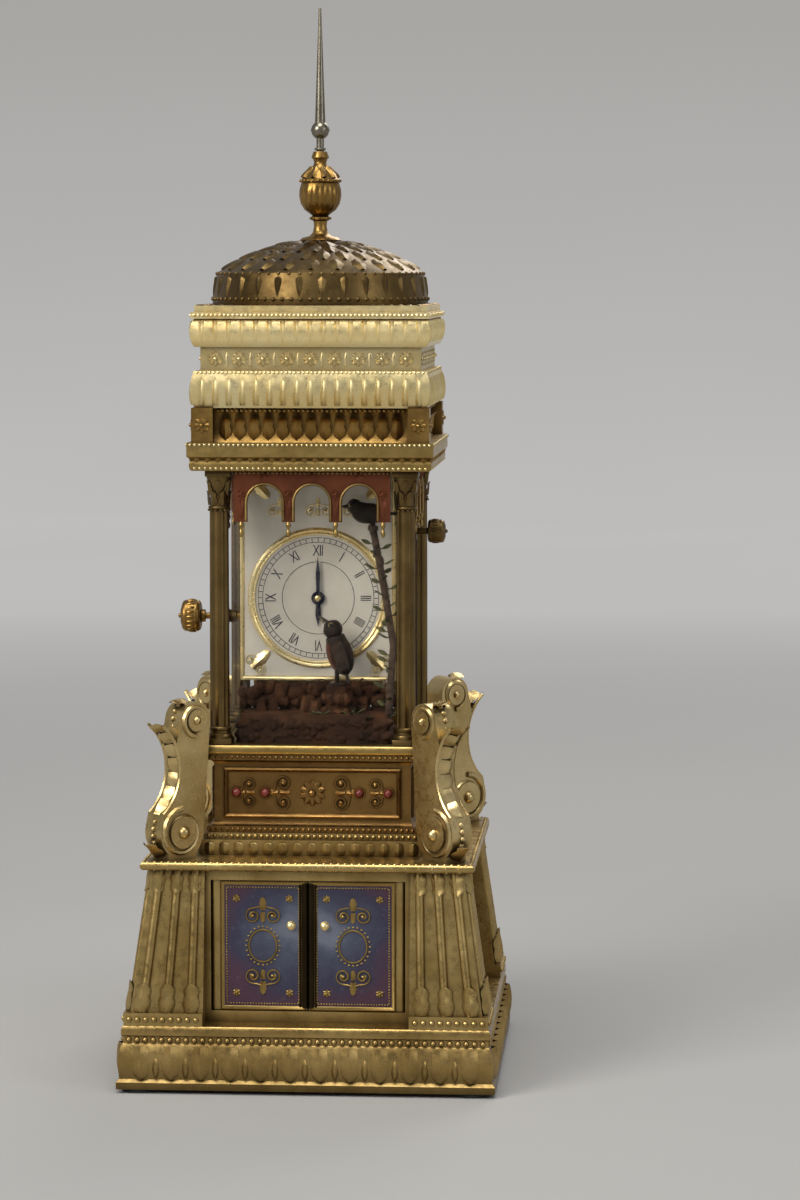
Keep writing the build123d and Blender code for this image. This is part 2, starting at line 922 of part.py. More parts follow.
# Rear door: a bordered leaf on pivots, its pane and its knob
with BuildPart() as rear_door:
    rear_low = lantern_low + free_gap
    rear_high = lantern_high - free_gap
    across = (rear_y - rear_leaf_thickness / 2, rear_y + rear_leaf_thickness / 2)
    block((-rear_leaf_half, rear_pivot_x), across, (rear_low, rear_high))
    window_half = rear_leaf_half - rear_leaf_border
    window_low = rear_low + rear_leaf_border
    window_high = rear_high - rear_leaf_border
    block((-window_half, window_half), across, (window_low, window_high), Mode.SUBTRACT)
    upright(rear_pivot_x, rear_y, rear_low, rear_high - rear_low, rear_leaf_thickness / 2)
    for start in (rear_low - pivot_length, rear_high):
        upright(rear_pivot_x, rear_y, start, pivot_length, pivot_radius)
    knob_x = -(window_half + rear_leaf_border / 2)
    knob_back = across[1] + rear_knob_reach
    disc(knob_x, dial_z, knob_back, rear_knob_reach, rear_knob_radius * 0.5)
    disc(knob_x, dial_z, knob_back, rear_knob_reach * 0.5, rear_knob_radius)
save(rear_door, "rear_door")

with BuildPart() as rear_door_glass:
    block(
        (-window_half, window_half),
        (rear_y - half_pane, rear_y + half_pane),
        (window_low, window_high),
    )
save(rear_door_glass, "rear_door_glass")

# Arched valances over the front and side panes
with BuildPart() as valance:
    valance_back = -(column_half + half_pane + valance_stand)
    with BuildSketch(front_plane(0, valance_back, lantern_high)):
        with Locations((0, -valance_drop / 2)):
            Rectangle(2 * valance_half, valance_drop)
        for arch in (-1, 0, 1):
            arch_centre = -(arch_crown + arch_radius)
            with Locations((arch * arch_pitch, arch_centre)):
                Circle(arch_radius, mode=Mode.SUBTRACT)
            with Locations((arch * arch_pitch, (arch_centre - valance_drop) / 2)):
                Rectangle(2 * arch_radius, valance_drop + arch_centre, mode=Mode.SUBTRACT)
    extrude(amount=valance_thickness)
with BuildPart() as valances:
    for turn in (0, 90, -90):
        with Locations(Location((0, 0, 0), (0, 0, turn))):
            add(valance.part)
save(valances, "valances")

# Architrave of four mitred bars round the ceiling of the lantern
architrave_edge = architrave_half - architrave_round
ceiling_half = architrave_half - architrave_wall
architrave_bar = mitred_bar(
    (architrave_edge, lantern_high),
    [
        (architrave_edge, lantern_high + architrave_height * 0.4, architrave_round / 2),
        (architrave_half, lantern_high + architrave_height * 0.5, 0),
        (architrave_half, frieze_low, 0),
    ],
    ceiling_half,
)
with BuildPart() as architrave:
    with PolarLocations(0, 4):
        add(architrave_bar)
    ceiling = (-ceiling_half + slip, ceiling_half - slip)
    block(ceiling, ceiling, (lantern_high, lantern_high + architrave_soffit))
    depth = pivot_length + free_gap
    upright(rear_pivot_x, rear_y, lantern_high, depth, pivot_radius + running, Mode.SUBTRACT)
save(architrave, "architrave")

# Frieze: four coved bars between four corner blocks
with BuildPart() as frieze_bar:
    block_inner = frieze_half + corner_block_proud - corner_block
    frieze_section = moulding_face(
        Plane.YZ,
        (frieze_half, frieze_low),
        [(frieze_half, cornice_low, -frieze_cove)],
        frieze_half - frieze_wall,
    )
    extrude(frieze_section, amount=block_inner - mitre_gap, both=True)
    outer = block_inner + corner_block
    block((block_inner, outer), (block_inner, outer), (frieze_low, cornice_low))
with BuildPart() as frieze:
    with PolarLocations(0, 4):
        add(frieze_bar.part)
save(frieze, "frieze")

# Cornice of two swelling bands with a flat band between them
lower_high = cornice_low + lower_band_height
middle_high = lower_high + middle_band_height
middle_half = band_half - middle_band_inset
cornice_bar = mitred_bar(
    (band_half, cornice_low),
    [
        (band_half, lower_high, band_bulge),
        (middle_half, lower_high, 0),
        (middle_half, middle_high, 0),
        (band_half, middle_high, 0),
        (band_half, roof_low - upper_lip_height, band_bulge),
        (band_half + upper_lip_proud, roof_low - upper_lip_height, 0),
        (band_half + upper_lip_proud, roof_low, 0),
    ],
    band_half - cornice_wall,
)
with BuildPart() as cornice:
    with PolarLocations(0, 4):
        add(cornice_bar)
    block((-band_half, band_half), (-band_half, band_half), (roof_low + slip, dome_low))
save(cornice, "cornice")

# Dome, an open shell on the roof plate
with BuildPart() as dome:
    drum_high = dome_low + drum_height
    inner_radius = dome_radius - dome_wall
    outer_sphere = (dome_radius**2 + cap_height**2) / (2 * cap_height)
    inner_sphere = (inner_radius**2 + cap_height**2) / (2 * cap_height)
    with BuildSketch(Plane.XZ):
        with BuildLine():
            Line((inner_radius, dome_low), (dome_radius + dome_lip, dome_low))
            Line((dome_radius + dome_lip, dome_low), (dome_radius + dome_lip, dome_low + dome_lip_height))
            Line((dome_radius + dome_lip, dome_low + dome_lip_height), (dome_radius, drum_high))
            RadiusArc((dome_radius, drum_high), (0, finial_low), -outer_sphere)
            Line((0, finial_low), (0, finial_low - dome_wall))
            inner_high = drum_high - dome_wall
            RadiusArc((0, finial_low - dome_wall), (inner_radius, inner_high), inner_sphere)
            Line((inner_radius, inner_high), (inner_radius, dome_low))
        make_face()
    revolve(axis=Axis.Z)
save(dome, "dome")

# Urn on its stem
with BuildPart() as finial_urn:
    flange_high = finial_low + stem_foot_height
    urn_low = finial_low + stem_height
    with BuildSketch(Plane.XZ):
        with BuildLine():
            Line((0, finial_low), (stem_foot_radius, finial_low))
            SagittaArc((stem_foot_radius, finial_low), (stem_radius, flange_high), -stem_foot_sag)
            Line((stem_radius, flange_high), (stem_radius, urn_low))
            shoulder_z = urn_low + urn_height * urn_shoulder_share
            SagittaArc((stem_radius, urn_low), (urn_radius, shoulder_z), -urn_belly_bulge)
            SagittaArc((urn_radius, shoulder_z), (urn_lip_radius, neck_low), -urn_shoulder_bulge)
            SagittaArc((urn_lip_radius, neck_low), (neck_radius, spire_low), urn_neck_sag)
            Line((neck_radius, spire_low), (0, spire_low))
            Line((0, spire_low), (0, finial_low))
        make_face()
    revolve(axis=Axis.Z)
save(finial_urn, "finial_urn")

# Ball and needle spire
with BuildPart() as spire:
    ball_z = spire_low + spire_ball_rise
    spire_high = spire_low + needle_height
    upright(0, 0, spire_low, spire_ball_rise, spire_stem_radius)
    with Locations((0, 0, ball_z)):
        Sphere(spire_ball_radius)
    with BuildSketch(Plane.XY.offset(ball_z)):
        Circle(needle_foot_radius)
    with BuildSketch(Plane.XY.offset(spire_high)):
        Circle(needle_tip_radius)
    loft()
save(spire, "spire")

# Seat that carries the clock movement behind the rock
with BuildPart() as movement_seat:
    across = (plate_front_y, back_plate_y)
    block((-seat_half, seat_half), across, (lantern_low, plates_low))
    inner = seat_half - seat_wall
    block((-inner, inner), across, (lantern_low, plates_low - seat_wall), Mode.SUBTRACT)
save(movement_seat, "movement_seat")

# Arbors of the clock: each place is x and z
centre_at = (0.0, dial_z)
barrel_at = next_arbor(centre_at, barrel_direction, great_teeth, centre_pinion_teeth, great_module)
third_at = next_arbor(centre_at, third_direction, centre_teeth, third_pinion_teeth, centre_module)
escape_at = next_arbor(third_at, escape_direction, third_teeth, escape_pinion_teeth, third_module)
motion_at = next_arbor(centre_at, motion_direction, motion_teeth, cannon_teeth, motion_module)
escape_tip = escape_teeth * escape_module / 2 + 0.8 * escape_module
pallet_at = step_to(escape_at, pallet_direction, escape_tip + pallet_gap)
balance_at = step_to(pallet_at, balance_direction, balance_radius + pallet_gap)
front_inside = plate_front_y + plate_thickness
back_inside = back_plate_y - plate_thickness
arbor_ends = free_gap
clock_arbors = (barrel_at, third_at, escape_at, pallet_at, balance_at)

# Plates of the clock movement
with BuildPart() as movement_plates:
    plates_high = plates_low + plate_rise
    for front in (plate_front_y, back_inside):
        block((-plate_half, plate_half), (front, front + plate_thickness), (plates_low, plates_high))
    for x, z in clock_arbors:
        disc(x, z, back_plate_y, movement_depth, pivot_hole, Mode.SUBTRACT)
    disc(*barrel_at, back_plate_y, movement_depth, shaft_radius + running, Mode.SUBTRACT)
    disc(*centre_at, back_plate_y, movement_depth, pivot_hole, Mode.SUBTRACT)
    motion_stud = -dial_front + dial_thickness + motion_stud_tip
    disc(*motion_at, plate_front_y, plate_front_y - motion_stud, arbor_radius)
save(movement_plates, "movement_plates")

# Pillars of both movements
song_plates_high = bed_top + song_plate_rise
with BuildPart() as movement_pillars:
    between = back_inside - front_inside
    for x in (pillar_inset - plate_half, plate_half - pillar_inset):
        for z in (plates_low + pillar_inset, plates_high - pillar_inset):
            disc(x, z, back_inside, between, pillar_radius)
    song_between = song_depth - 2 * plate_thickness
    for x in (song_plate_low_x + pillar_inset, song_plate_high_x - pillar_inset):
        for z in (bed_top + pillar_inset, song_plates_high - pillar_inset):
            disc(x, z, song_back_y - plate_thickness, song_between, pillar_radius)
save(movement_pillars, "movement_pillars")

# Dial plate on its four feet
with BuildPart() as dial_plate:
    dial_back_y = -dial_front + dial_thickness
    block(
        (-dial_half, dial_half),
        (-dial_front, dial_back_y),
        (lantern_low + dial_low_rise, lantern_low + dial_high_rise),
    )
    foot_reach = plate_front_y - dial_back_y
    for x in (-dial_foot_half, dial_foot_half):
        for rise in (-dial_foot_half, dial_foot_half):
            disc(x, dial_z + rise, plate_front_y, foot_reach, dial_foot_radius)
    disc(*centre_at, dial_back_y, dial_thickness, hour_pipe_radius + free_gap, Mode.SUBTRACT)
save(dial_plate, "dial_plate")

# Layers of the train between the plates, from the front
centre_wheel_back = front_inside + arbor_ends + centre_wheel_layer
third_wheel_back = centre_wheel_back + wheel_layer
escape_wheel_back = third_wheel_back + wheel_layer
great_wheel_back = back_inside - great_wheel_layer


def arbor(place, front, back, radius=arbor_radius):
    disc(*place, back, back - front, radius)


plate_ends = (plate_front_y + free_gap, back_plate_y - free_gap)

# Going barrel with its great wheel and winding square
with BuildPart() as going_barrel:
    great_phase = facing(barrel_at, centre_at)
    toothed(*barrel_at, great_wheel_back, wheel_thickness, great_teeth, great_module, great_phase)
    disc(*barrel_at, great_wheel_back - wheel_thickness, barrel_length, barrel_radius)
    square_front = back_plate_y + 1.0
    arbor(barrel_at, plate_ends[0], square_front + 1.0, shaft_radius)
    with BuildSketch(front_plane(barrel_at[0], square_front + winding_square_length, barrel_at[1])):
        Rectangle(winding_square, winding_square)
    extrude(amount=winding_square_length)
save(going_barrel, "going_barrel")

# Centre wheel and its long arbor
with BuildPart() as centre_wheel:
    centre_phase = facing(centre_at, third_at)
    toothed(*centre_at, centre_wheel_back, wheel_thickness, centre_teeth, centre_module, centre_phase)
    crossed_out(*centre_at, centre_wheel_back, wheel_thickness, *centre_windows)
    pinion_phase = gap_phase(barrel_at, centre_at, centre_pinion_teeth)
    pinion_back = great_wheel_back + (pinion_face - wheel_thickness) / 2
    toothed(*centre_at, pinion_back, pinion_face, centre_pinion_teeth, great_module, pinion_phase)
    arbor(centre_at, -dial_front, plate_ends[1])
save(centre_wheel, "centre_wheel")

# Third wheel
with BuildPart() as third_wheel:
    third_phase = facing(third_at, escape_at)
    toothed(*third_at, third_wheel_back, wheel_thickness, third_teeth, third_module, third_phase)
    crossed_out(*third_at, third_wheel_back, wheel_thickness, *third_windows)
    pinion_phase = gap_phase(centre_at, third_at, third_pinion_teeth)
    pinion_back = centre_wheel_back + (pinion_face - wheel_thickness) / 2
    toothed(*third_at, pinion_back, pinion_face, third_pinion_teeth, centre_module, pinion_phase)
    arbor(third_at, *plate_ends)
save(third_wheel, "third_wheel")

# Escape wheel
with BuildPart() as escape_wheel:
    toothed(*escape_at, escape_wheel_back, wheel_thickness, escape_teeth, escape_module, 0)
    crossed_out(*escape_at, escape_wheel_back, wheel_thickness, *escape_windows)
    pinion_phase = gap_phase(third_at, escape_at, escape_pinion_teeth)
    pinion_back = third_wheel_back + (pinion_face - wheel_thickness) / 2
    toothed(*escape_at, pinion_back, pinion_face, escape_pinion_teeth, third_module, pinion_phase)
    arbor(escape_at, *plate_ends)
save(escape_wheel, "escape_wheel")

# Pallet lever beside the escape wheel
with BuildPart() as pallet_lever:
    arbor(pallet_at, *plate_ends)
    lever_plane = front_plane(pallet_at[0], escape_wheel_back, pallet_at[1])
    with BuildSketch(lever_plane):
        Circle(arbor_radius * 2)
        with Locations(Location((0, 0, 0), (0, 0, pallet_tilt))):
            Rectangle(pallet_span, pallet_width)
        with Locations(Location((0, 0, 0), (0, 0, balance_direction))):
            Rectangle(fork_length, fork_width, align=(Align.MIN, Align.CENTER))
            with Locations((-fork_counterpoise_reach, 0)):
                Circle(fork_counterpoise)
    extrude(amount=wheel_thickness)
save(pallet_lever, "pallet_lever")

# Balance wheel
balance_back = escape_wheel_back + balance_layer
with BuildPart() as balance_wheel:
    disc(*balance_at, balance_back, wheel_thickness, balance_radius)
    disc(*balance_at, balance_back, wheel_thickness, balance_radius - balance_rim, Mode.SUBTRACT)
    with BuildSketch(front_plane(balance_at[0], balance_back, balance_at[1])):
        Rectangle(2 * balance_radius - balance_rim, balance_arm_width)
        Circle(balance_hub_radius)
    extrude(amount=wheel_thickness)
    arbor(balance_at, *plate_ends)
save(balance_wheel, "balance_wheel")

# Minute work on its stud, between the front plate and the dial
motion_wheel_back = plate_front_y - free_gap
motion_face = 0.9
hour_module = (motion_teeth + cannon_teeth) * motion_module / (hour_teeth + motion_pinion_teeth)
hour_wheel_back = motion_wheel_back - motion_face - free_gap
with BuildPart() as minute_wheel:
    motion_phase = facing(motion_at, centre_at)
    toothed(*motion_at, motion_wheel_back, motion_face, motion_teeth, motion_module, motion_phase)
    pinion_length = motion_face + free_gap
    pinion_front = motion_wheel_back - motion_face
    toothed(*motion_at, pinion_front, pinion_length, motion_pinion_teeth, hour_module, motion_phase)
    disc(*motion_at, motion_wheel_back, 4.0, arbor_radius + running, Mode.SUBTRACT)
save(minute_wheel, "minute_wheel")

# Hour hand on its pipe and wheel
hour_hand_back = -(dial_front + hand_gap)
with BuildPart() as hour_hand:
    hour_phase = gap_phase(motion_at, centre_at, hour_teeth)
    toothed(*centre_at, hour_wheel_back, motion_face, hour_teeth, hour_module, hour_phase)
    pipe_length = hour_wheel_back - hour_hand_back + hand_thickness
    disc(*centre_at, hour_wheel_back, pipe_length, hour_pipe_radius)
    with BuildSketch(front_plane(0, hour_hand_back, dial_z)):
        Circle(hour_pipe_radius + hand_boss)
        belly = -hand_belly_share * hour_hand_length
        Polygon((-0.9, 0), (-1.3, belly), (0, -hour_hand_length), (1.3, belly), (0.9, 0), align=None)
    extrude(amount=hand_thickness)
    disc(*centre_at, hour_wheel_back, pipe_length, cannon_pipe_radius + running, Mode.SUBTRACT)
save(hour_hand, "hour_hand")

# Minute hand on the cannon pinion
minute_hand_back = hour_hand_back - hand_thickness - hand_gap
with BuildPart() as minute_hand:
    cannon_phase = gap_phase(motion_at, centre_at, cannon_teeth)
    toothed(*centre_at, motion_wheel_back, motion_face, cannon_teeth, motion_module, cannon_phase)
    pipe_length = motion_wheel_back - minute_hand_back + hand_thickness
    disc(*centre_at, motion_wheel_back, pipe_length, cannon_pipe_radius)
    with BuildSketch(front_plane(0, minute_hand_back, dial_z)):
        Circle(cannon_pipe_radius + hand_boss)
        belly = hand_belly_share * minute_hand_length
        Polygon((-0.7, 0), (-1.0, belly), (0, minute_hand_length), (1.0, belly), (0.7, 0), align=None)
    extrude(amount=hand_thickness)
    arbor_hole = motion_wheel_back + dial_front + slip
    disc(*centre_at, motion_wheel_back, arbor_hole, arbor_radius + slip, Mode.SUBTRACT)
save(minute_hand, "minute_hand")

# Bushes of the two side knobs
with BuildPart() as knob_bushes:
    bush_length = glass_thickness + bush_flange + bush_nose
    for side, z in ((-1, start_z), (1, set_z)):
        inside = side * (pane_outside - glass_thickness - bush_nose)
        flange = side * pane_outside
        low = min(inside, side * (pane_outside + bush_flange))
        cross_round(low, 0, z, bush_length, bush_radius)
        flange_low = min(flange, flange + side * bush_flange)
        cross_round(flange_low, 0, z, bush_flange, bush_flange_radius)
        cross_round(low, 0, z, bush_length, shaft_radius + running, Mode.SUBTRACT)
save(knob_bushes, "knob_bushes")

# Start knob: pushed in to set the bird singing
with BuildPart() as start_knob:
    collar_out = pane_outside - glass_thickness - bush_nose - free_gap
    shaft_end = collar_out - collar_length - start_shaft_tail
    cross_round(-start_knob_out, 0, start_z, start_knob_length, start_knob_radius)
    fillet(start_knob.edges().filter_by(GeomType.CIRCLE), 2.0)
    neck_x = -start_knob_out + start_knob_length
    cross_round(neck_x - knob_lap, 0, start_z, 2 * collar_length, shaft_radius * 2)
    shaft_start = knob_lap - start_knob_out
    cross_round(shaft_start, 0, start_z, -shaft_end - shaft_start, shaft_radius)
    cross_round(-collar_out, 0, start_z, collar_length, bush_radius - collar_margin)
save(start_knob, "start_knob")

# Knob that sets the hands
with BuildPart() as set_knob:
    set_shaft_end = plate_half + set_shaft_gap
    cross_round(set_knob_out - set_knob_length, 0, set_z, set_knob_length, set_knob_radius)
    fillet(set_knob.edges().filter_by(GeomType.CIRCLE), 1.5)
    cross_round(set_shaft_end, 0, set_z, set_knob_out - knob_lap - set_shaft_end, shaft_radius)
    cross_round(collar_out - collar_length, 0, set_z, collar_length, bush_radius - collar_margin)
    cross_round(set_shaft_end, 0, set_z, set_flange_length, bush_radius)
save(set_knob, "set_knob")

# Main bird: places along its lean
lean = Vector(cos(radians(bird_lean)), 0, sin(radians(bird_lean)))
broad = Vector(sin(radians(bird_lean)), 0, -cos(radians(bird_lean)))
bird_centre = Vector(bird_x, bird_y, lantern_low + bird_rise)
head_centre = bird_centre + lean * head_reach
beak_way = Vector(cos(radians(beak_angle)), 0, sin(radians(beak_angle)))
bird_plane = Plane(origin=bird_centre, x_dir=lean, z_dir=(0, -1, 0))
tail_root = bird_half_length - tail_cut

with BuildPart() as bird_body:
    with BuildSketch(bird_plane):
        with BuildLine():
            belly = EllipticalCenterArc((0, 0), bird_half_length, bird_radius, 0, arc_size=180)
            Line(belly @ 1, belly @ 0)
        make_face()
    revolve(axis=Axis(bird_centre, lean))
    with BuildSketch(bird_plane):
        Rectangle(bird_half_length, bird_radius * 2, align=(Align.MAX, Align.CENTER))
        with Locations((-tail_root, 0)):
            Rectangle(tail_root, bird_radius * 2, align=(Align.MIN, Align.CENTER), mode=Mode.SUBTRACT)
    extrude(amount=bird_radius, both=True, mode=Mode.SUBTRACT)
    with Locations(head_centre):
        Sphere(head_radius + free_gap, mode=Mode.SUBTRACT)
    with BuildSketch(Plane(origin=bird_centre, z_dir=lean)):
        Circle(neck_pin_radius)
    extrude(amount=head_reach)
    body_foot = lantern_low + bird_rise - bird_half_length * leg_share
    upright(perch_x, bird_y, perch_z + turntable_height, body_foot - perch_z, leg_radius)
    upright(perch_x, bird_y, perch_z + slip, turntable_height, turntable_radius)
    upright(perch_x, bird_y, perch_z - spindle_length + 1.0, spindle_length, spindle_radius)
save(bird_body, "bird_body")

beak_plane = Plane(origin=head_centre, x_dir=beak_way, z_dir=(0, -1, 0))
beak_root = head_radius * beak_root_share
beak_tip = head_radius + beak_length
with BuildPart() as bird_head:
    with Locations(head_centre):
        Sphere(head_radius)
    with BuildSketch(beak_plane):
        with BuildLine():
            Polyline((beak_root, 0), (beak_tip, 0), (beak_root, -beak_radius), close=True)
        make_face()
    revolve(axis=Axis(head_centre, beak_way))
    with BuildSketch(beak_plane):
        slit = (head_radius + 2 * running, beak_slit)
        with Locations(slit):
            Rectangle(2 * beak_length, 2 * beak_radius, align=Align.MIN)
    extrude(amount=beak_radius * 2, both=True, mode=Mode.SUBTRACT)
    with BuildSketch(Plane(origin=head_centre - lean * head_radius, z_dir=lean)):
        Circle(neck_pin_radius + running)
    extrude(amount=head_radius + free_gap, mode=Mode.SUBTRACT)
save(bird_head, "bird_head")

with BuildPart() as bird_beak:
    half_beak = beak_radius * lower_beak_share
    beak_pin = (head_radius + beak_pin_reach, beak_drop + beak_pin_drop)
    with BuildSketch(beak_plane):
        Polygon((beak_pin[0], beak_drop), (beak_tip - lower_beak_shorter, beak_drop),
                (beak_pin[0], half_beak), align=None)
        with Locations(beak_pin):
            Circle(beak_pin_drop)
    extrude(amount=half_beak / 2, both=True)
save(bird_beak, "bird_beak")

with BuildPart() as bird_tail:
    tail_start = tail_root + free_gap + tail_thickness / 2
    tail_origin = bird_centre - lean * tail_start
    with BuildSketch(Plane(origin=tail_origin, x_dir=(0, -1, 0), z_dir=broad)):
        Polygon((-tail_root_half, 0), (-tail_width / 2, tail_length), (tail_width / 2, tail_length),
                (tail_root_half, 0), align=None)
    extrude(amount=tail_thickness / 2, both=True)
    disc(tail_origin.X, tail_origin.Z, bird_y + tail_root_half, 2 * tail_root_half, flick_hinge_radius)
save(bird_tail, "bird_tail")


def wing(side):
    # A flat wing beside the body, hinged along its upper edge.
    face_y = bird_y + side * (bird_radius + free_gap)
    face_centre = (bird_centre.X, face_y, bird_centre.Z)
    with BuildPart() as piece:
        with BuildSketch(Plane(origin=face_centre, x_dir=lean, z_dir=(0, side, 0))):
            Ellipse(wing_length / 2, wing_width / 2)
        extrude(amount=wing_thickness)
        edge = bird_centre + broad * (wing_width / 2) - lean * (wing_hinge_length / 2)
        root = (edge.X, face_y + side * wing_thickness / 2, edge.Z)
        with BuildSketch(Plane(origin=root, z_dir=lean)):
            Circle(flick_hinge_radius)
        extrude(amount=wing_hinge_length)
    return piece


save(wing(-1), "bird_left_wing")
save(wing(1), "bird_right_wing")

# Second bird in one piece, on a spindle in the branch
with BuildPart() as second_bird:
    second_z = lantern_low + second_rise
    second_centre = Vector(second_x, bird_y, second_z)
    with BuildSketch(front_plane(second_x, bird_y, second_z)):
        with BuildLine():
            back_line = EllipticalCenterArc((0, 0), second_half_length, second_radius, 0, arc_size=180)
            Line(back_line @ 1, back_line @ 0)
        make_face()
    revolve(axis=Axis(second_centre, (1, 0, 0)))
    second_head_x = second_x - second_half_length * second_head_reach
    second_head_z = second_z + second_radius * second_head_lift
    with Locations((second_head_x, bird_y, second_head_z)):
        Sphere(second_head_radius)
    tail_low = second_z - tail_thickness / 2
    tail_end = column_half - second_tail_margin
    tail_across = (bird_y - second_tail_half, bird_y + second_tail_half)
    block((second_x, tail_end), tail_across, (tail_low, tail_low + tail_thickness))
    beak_x = second_head_x - second_head_radius * beak_root_share
    with BuildSketch(side_plane(beak_x, bird_y, second_head_z)):
        Circle(second_beak_radius)
    extrude(amount=-second_beak_length, taper=second_beak_taper)
    leg_low = branch_top + 1.0 + slip
    upright(second_perch_x, bird_y, leg_low, second_z - leg_low, second_leg_radius)
    upright(second_perch_x, bird_y, branch_top - 2.0 + free_gap, 3.0, branch_pin_radius)
save(second_bird, "second_bird")

# Song frame: bed, two plates and the fixed board of the bellows
song_barrel_at = (song_barrel_x, song_barrel_z)
cams_at = next_arbor(song_barrel_at, song_direction, song_great_teeth, song_pinion_teeth, song_module)
fly_at = next_arbor(cams_at, fly_direction, fly_teeth, fly_pinion_teeth, fly_module)
lever_z = bed_top + lever_rise
lever_back = song_front_y - free_gap
bellows_z = bed_top + bellows_rise
hinge_z = bellows_z + bellows_depth
song_ends = (song_front_y + free_gap, song_back_y - free_gap)
with BuildPart() as song_frame:
    block((-bed_half_x, bed_half_x), (-bed_half_y, bed_half_y), (body_low, bed_top))
    for front in (song_front_y, song_back_y - plate_thickness):
        across = (front, front + plate_thickness)
        block((song_plate_low_x, song_plate_high_x), across, (bed_top, song_plates_high))
    for place in (song_barrel_at, cams_at, fly_at):
        disc(*place, song_back_y, song_depth, pivot_hole, Mode.SUBTRACT)
    disc(*song_barrel_at, song_back_y, song_depth, shaft_radius + running, Mode.SUBTRACT)
    board_low = bellows_z - bellows_board_thickness
    bellows_sides = (bellows_x - bellows_half, bellows_x + bellows_half)
    block(bellows_sides, (-bellows_front, bellows_back), (board_low, bellows_z))
    support_y = (-bellows_front * bellows_support_share, bellows_back * bellows_support_share)
    ear_y = (bellows_back - bellows_ear_half, bellows_back + bellows_barrel_radius)
    for side, x in ((-1, bellows_sides[0]), (1, bellows_sides[1])):
        block((x - side * bellows_support, x), support_y, (bed_top, board_low))
        ear = (x + side * free_gap, x + side * (free_gap + bellows_ear))
        block(ear, ear_y, (board_low, hinge_z + bellows_ear_half))
        block((x - side * bellows_support, ear[1]), ear_y, (board_low, bellows_z))
    ears_reach = bellows_half + free_gap + bellows_ear
    hinge_hole = bellows_pin_radius + running
    cross_round(bellows_x - ears_reach, bellows_back, hinge_z, 2 * ears_reach, hinge_hole, Mode.SUBTRACT)
    lever_stud = 2 * lever_thickness
    disc(lever_pivot_x, lever_z, song_front_y, lever_stud, arbor_radius)
save(song_frame, "song_frame")

# Song barrel, with an arbor that reaches the key hole of the back cover
with BuildPart() as song_barrel:
    barrel_back = song_back_y - plate_thickness - free_gap - 1.0
    toothed(*song_barrel_at, barrel_back, wheel_thickness, song_great_teeth, song_module,
            facing(song_barrel_at, cams_at))
    disc(*song_barrel_at, barrel_back - wheel_thickness, song_barrel_length, song_barrel_radius)
    square_front = song_back_y + 1.0
    arbor(song_barrel_at, song_ends[0], square_front + 1.0, shaft_radius)
    with BuildSketch(front_plane(song_barrel_x, frame_back, song_barrel_z)):
        Rectangle(winding_square, winding_square)
    extrude(amount=frame_back - square_front)
save(song_barrel, "song_barrel")

# Cam arbor with its stack of song cams
with BuildPart() as song_cams:
    pinion_phase = gap_phase(song_barrel_at, cams_at, song_pinion_teeth)
    pinion_back = barrel_back + (pinion_face - wheel_thickness) / 2
    toothed(*cams_at, pinion_back, pinion_face, song_pinion_teeth, song_module, pinion_phase)
    fly_wheel_back = barrel_back - wheel_thickness - song_barrel_length - 1.0
    toothed(*cams_at, fly_wheel_back, wheel_thickness, fly_teeth, fly_module, facing(cams_at, fly_at))
    for cam in range(cam_count):
        cam_back = song_front_y + plate_thickness + cam_clearance + cam_pitch * (cam + 0.5)
        angle = radians(360 * cam / cam_count)
        disc(cams_at[0] + cam_lift * cos(angle), cams_at[1] + cam_lift * sin(angle), cam_back,
             cam_thickness, cam_radius)
    lifter_back = song_front_y - free_gap
    disc(cams_at[0] + cam_lift, cams_at[1], lifter_back, lever_thickness, cam_radius)
    arbor(cams_at, lifter_back - lever_thickness - free_gap, song_ends[1])
save(song_cams, "song_cams")

# Fly that steadies the song
with BuildPart() as song_fly:
    pinion_phase = gap_phase(cams_at, fly_at, fly_pinion_teeth)
    pinion_back = fly_wheel_back + (pinion_face - wheel_thickness) / 2
    toothed(*fly_at, pinion_back, pinion_face, fly_pinion_teeth, fly_module, pinion_phase)
    vane_back = fly_wheel_back + 1.0 + vane_width
    with BuildSketch(front_plane(fly_at[0], vane_back, fly_at[1])):
        Rectangle(2 * vane_half, vane_thickness)
    extrude(amount=vane_width)
    arbor(fly_at, *song_ends)
save(song_fly, "song_fly")

# Lever that a cam lifts, and that lifts the push rod
with BuildPart() as cam_lever:
    with BuildSketch(front_plane(lever_pivot_x, lever_back, lever_z)):
        Rectangle(rod_x - lever_pivot_x + lever_tip_half, lever_width, align=(Align.MIN, Align.CENTER))
        Circle(lever_width * 0.8)
        finger_low = cams_at[1] + cam_radius + cam_lift + free_gap - lever_z
        with Locations((cams_at[0] - lever_pivot_x, finger_low)):
            Rectangle(lever_thickness, -finger_low, align=(Align.CENTER, Align.MIN))
    extrude(amount=lever_thickness)
    disc(lever_pivot_x, lever_z, lever_back, lever_thickness, arbor_radius + running, Mode.SUBTRACT)
    block(
        (rod_x - lever_tip_half, rod_x + lever_tip_half),
        (rod_y - lever_tip_half, lever_back),
        (lever_z - lever_width / 2, lever_z + lever_width / 2),
    )
save(cam_lever, "cam_lever")

# Push rod from the lever up to the bird's spindle
with BuildPart() as push_rod:
    rod_low = lever_z + lever_width / 2 + free_gap
    rod_high = perch_z - spindle_length - rod_top_gap
    upright(rod_x, rod_y, rod_low, rod_high - rod_low, rod_radius)
save(push_rod, "push_rod")

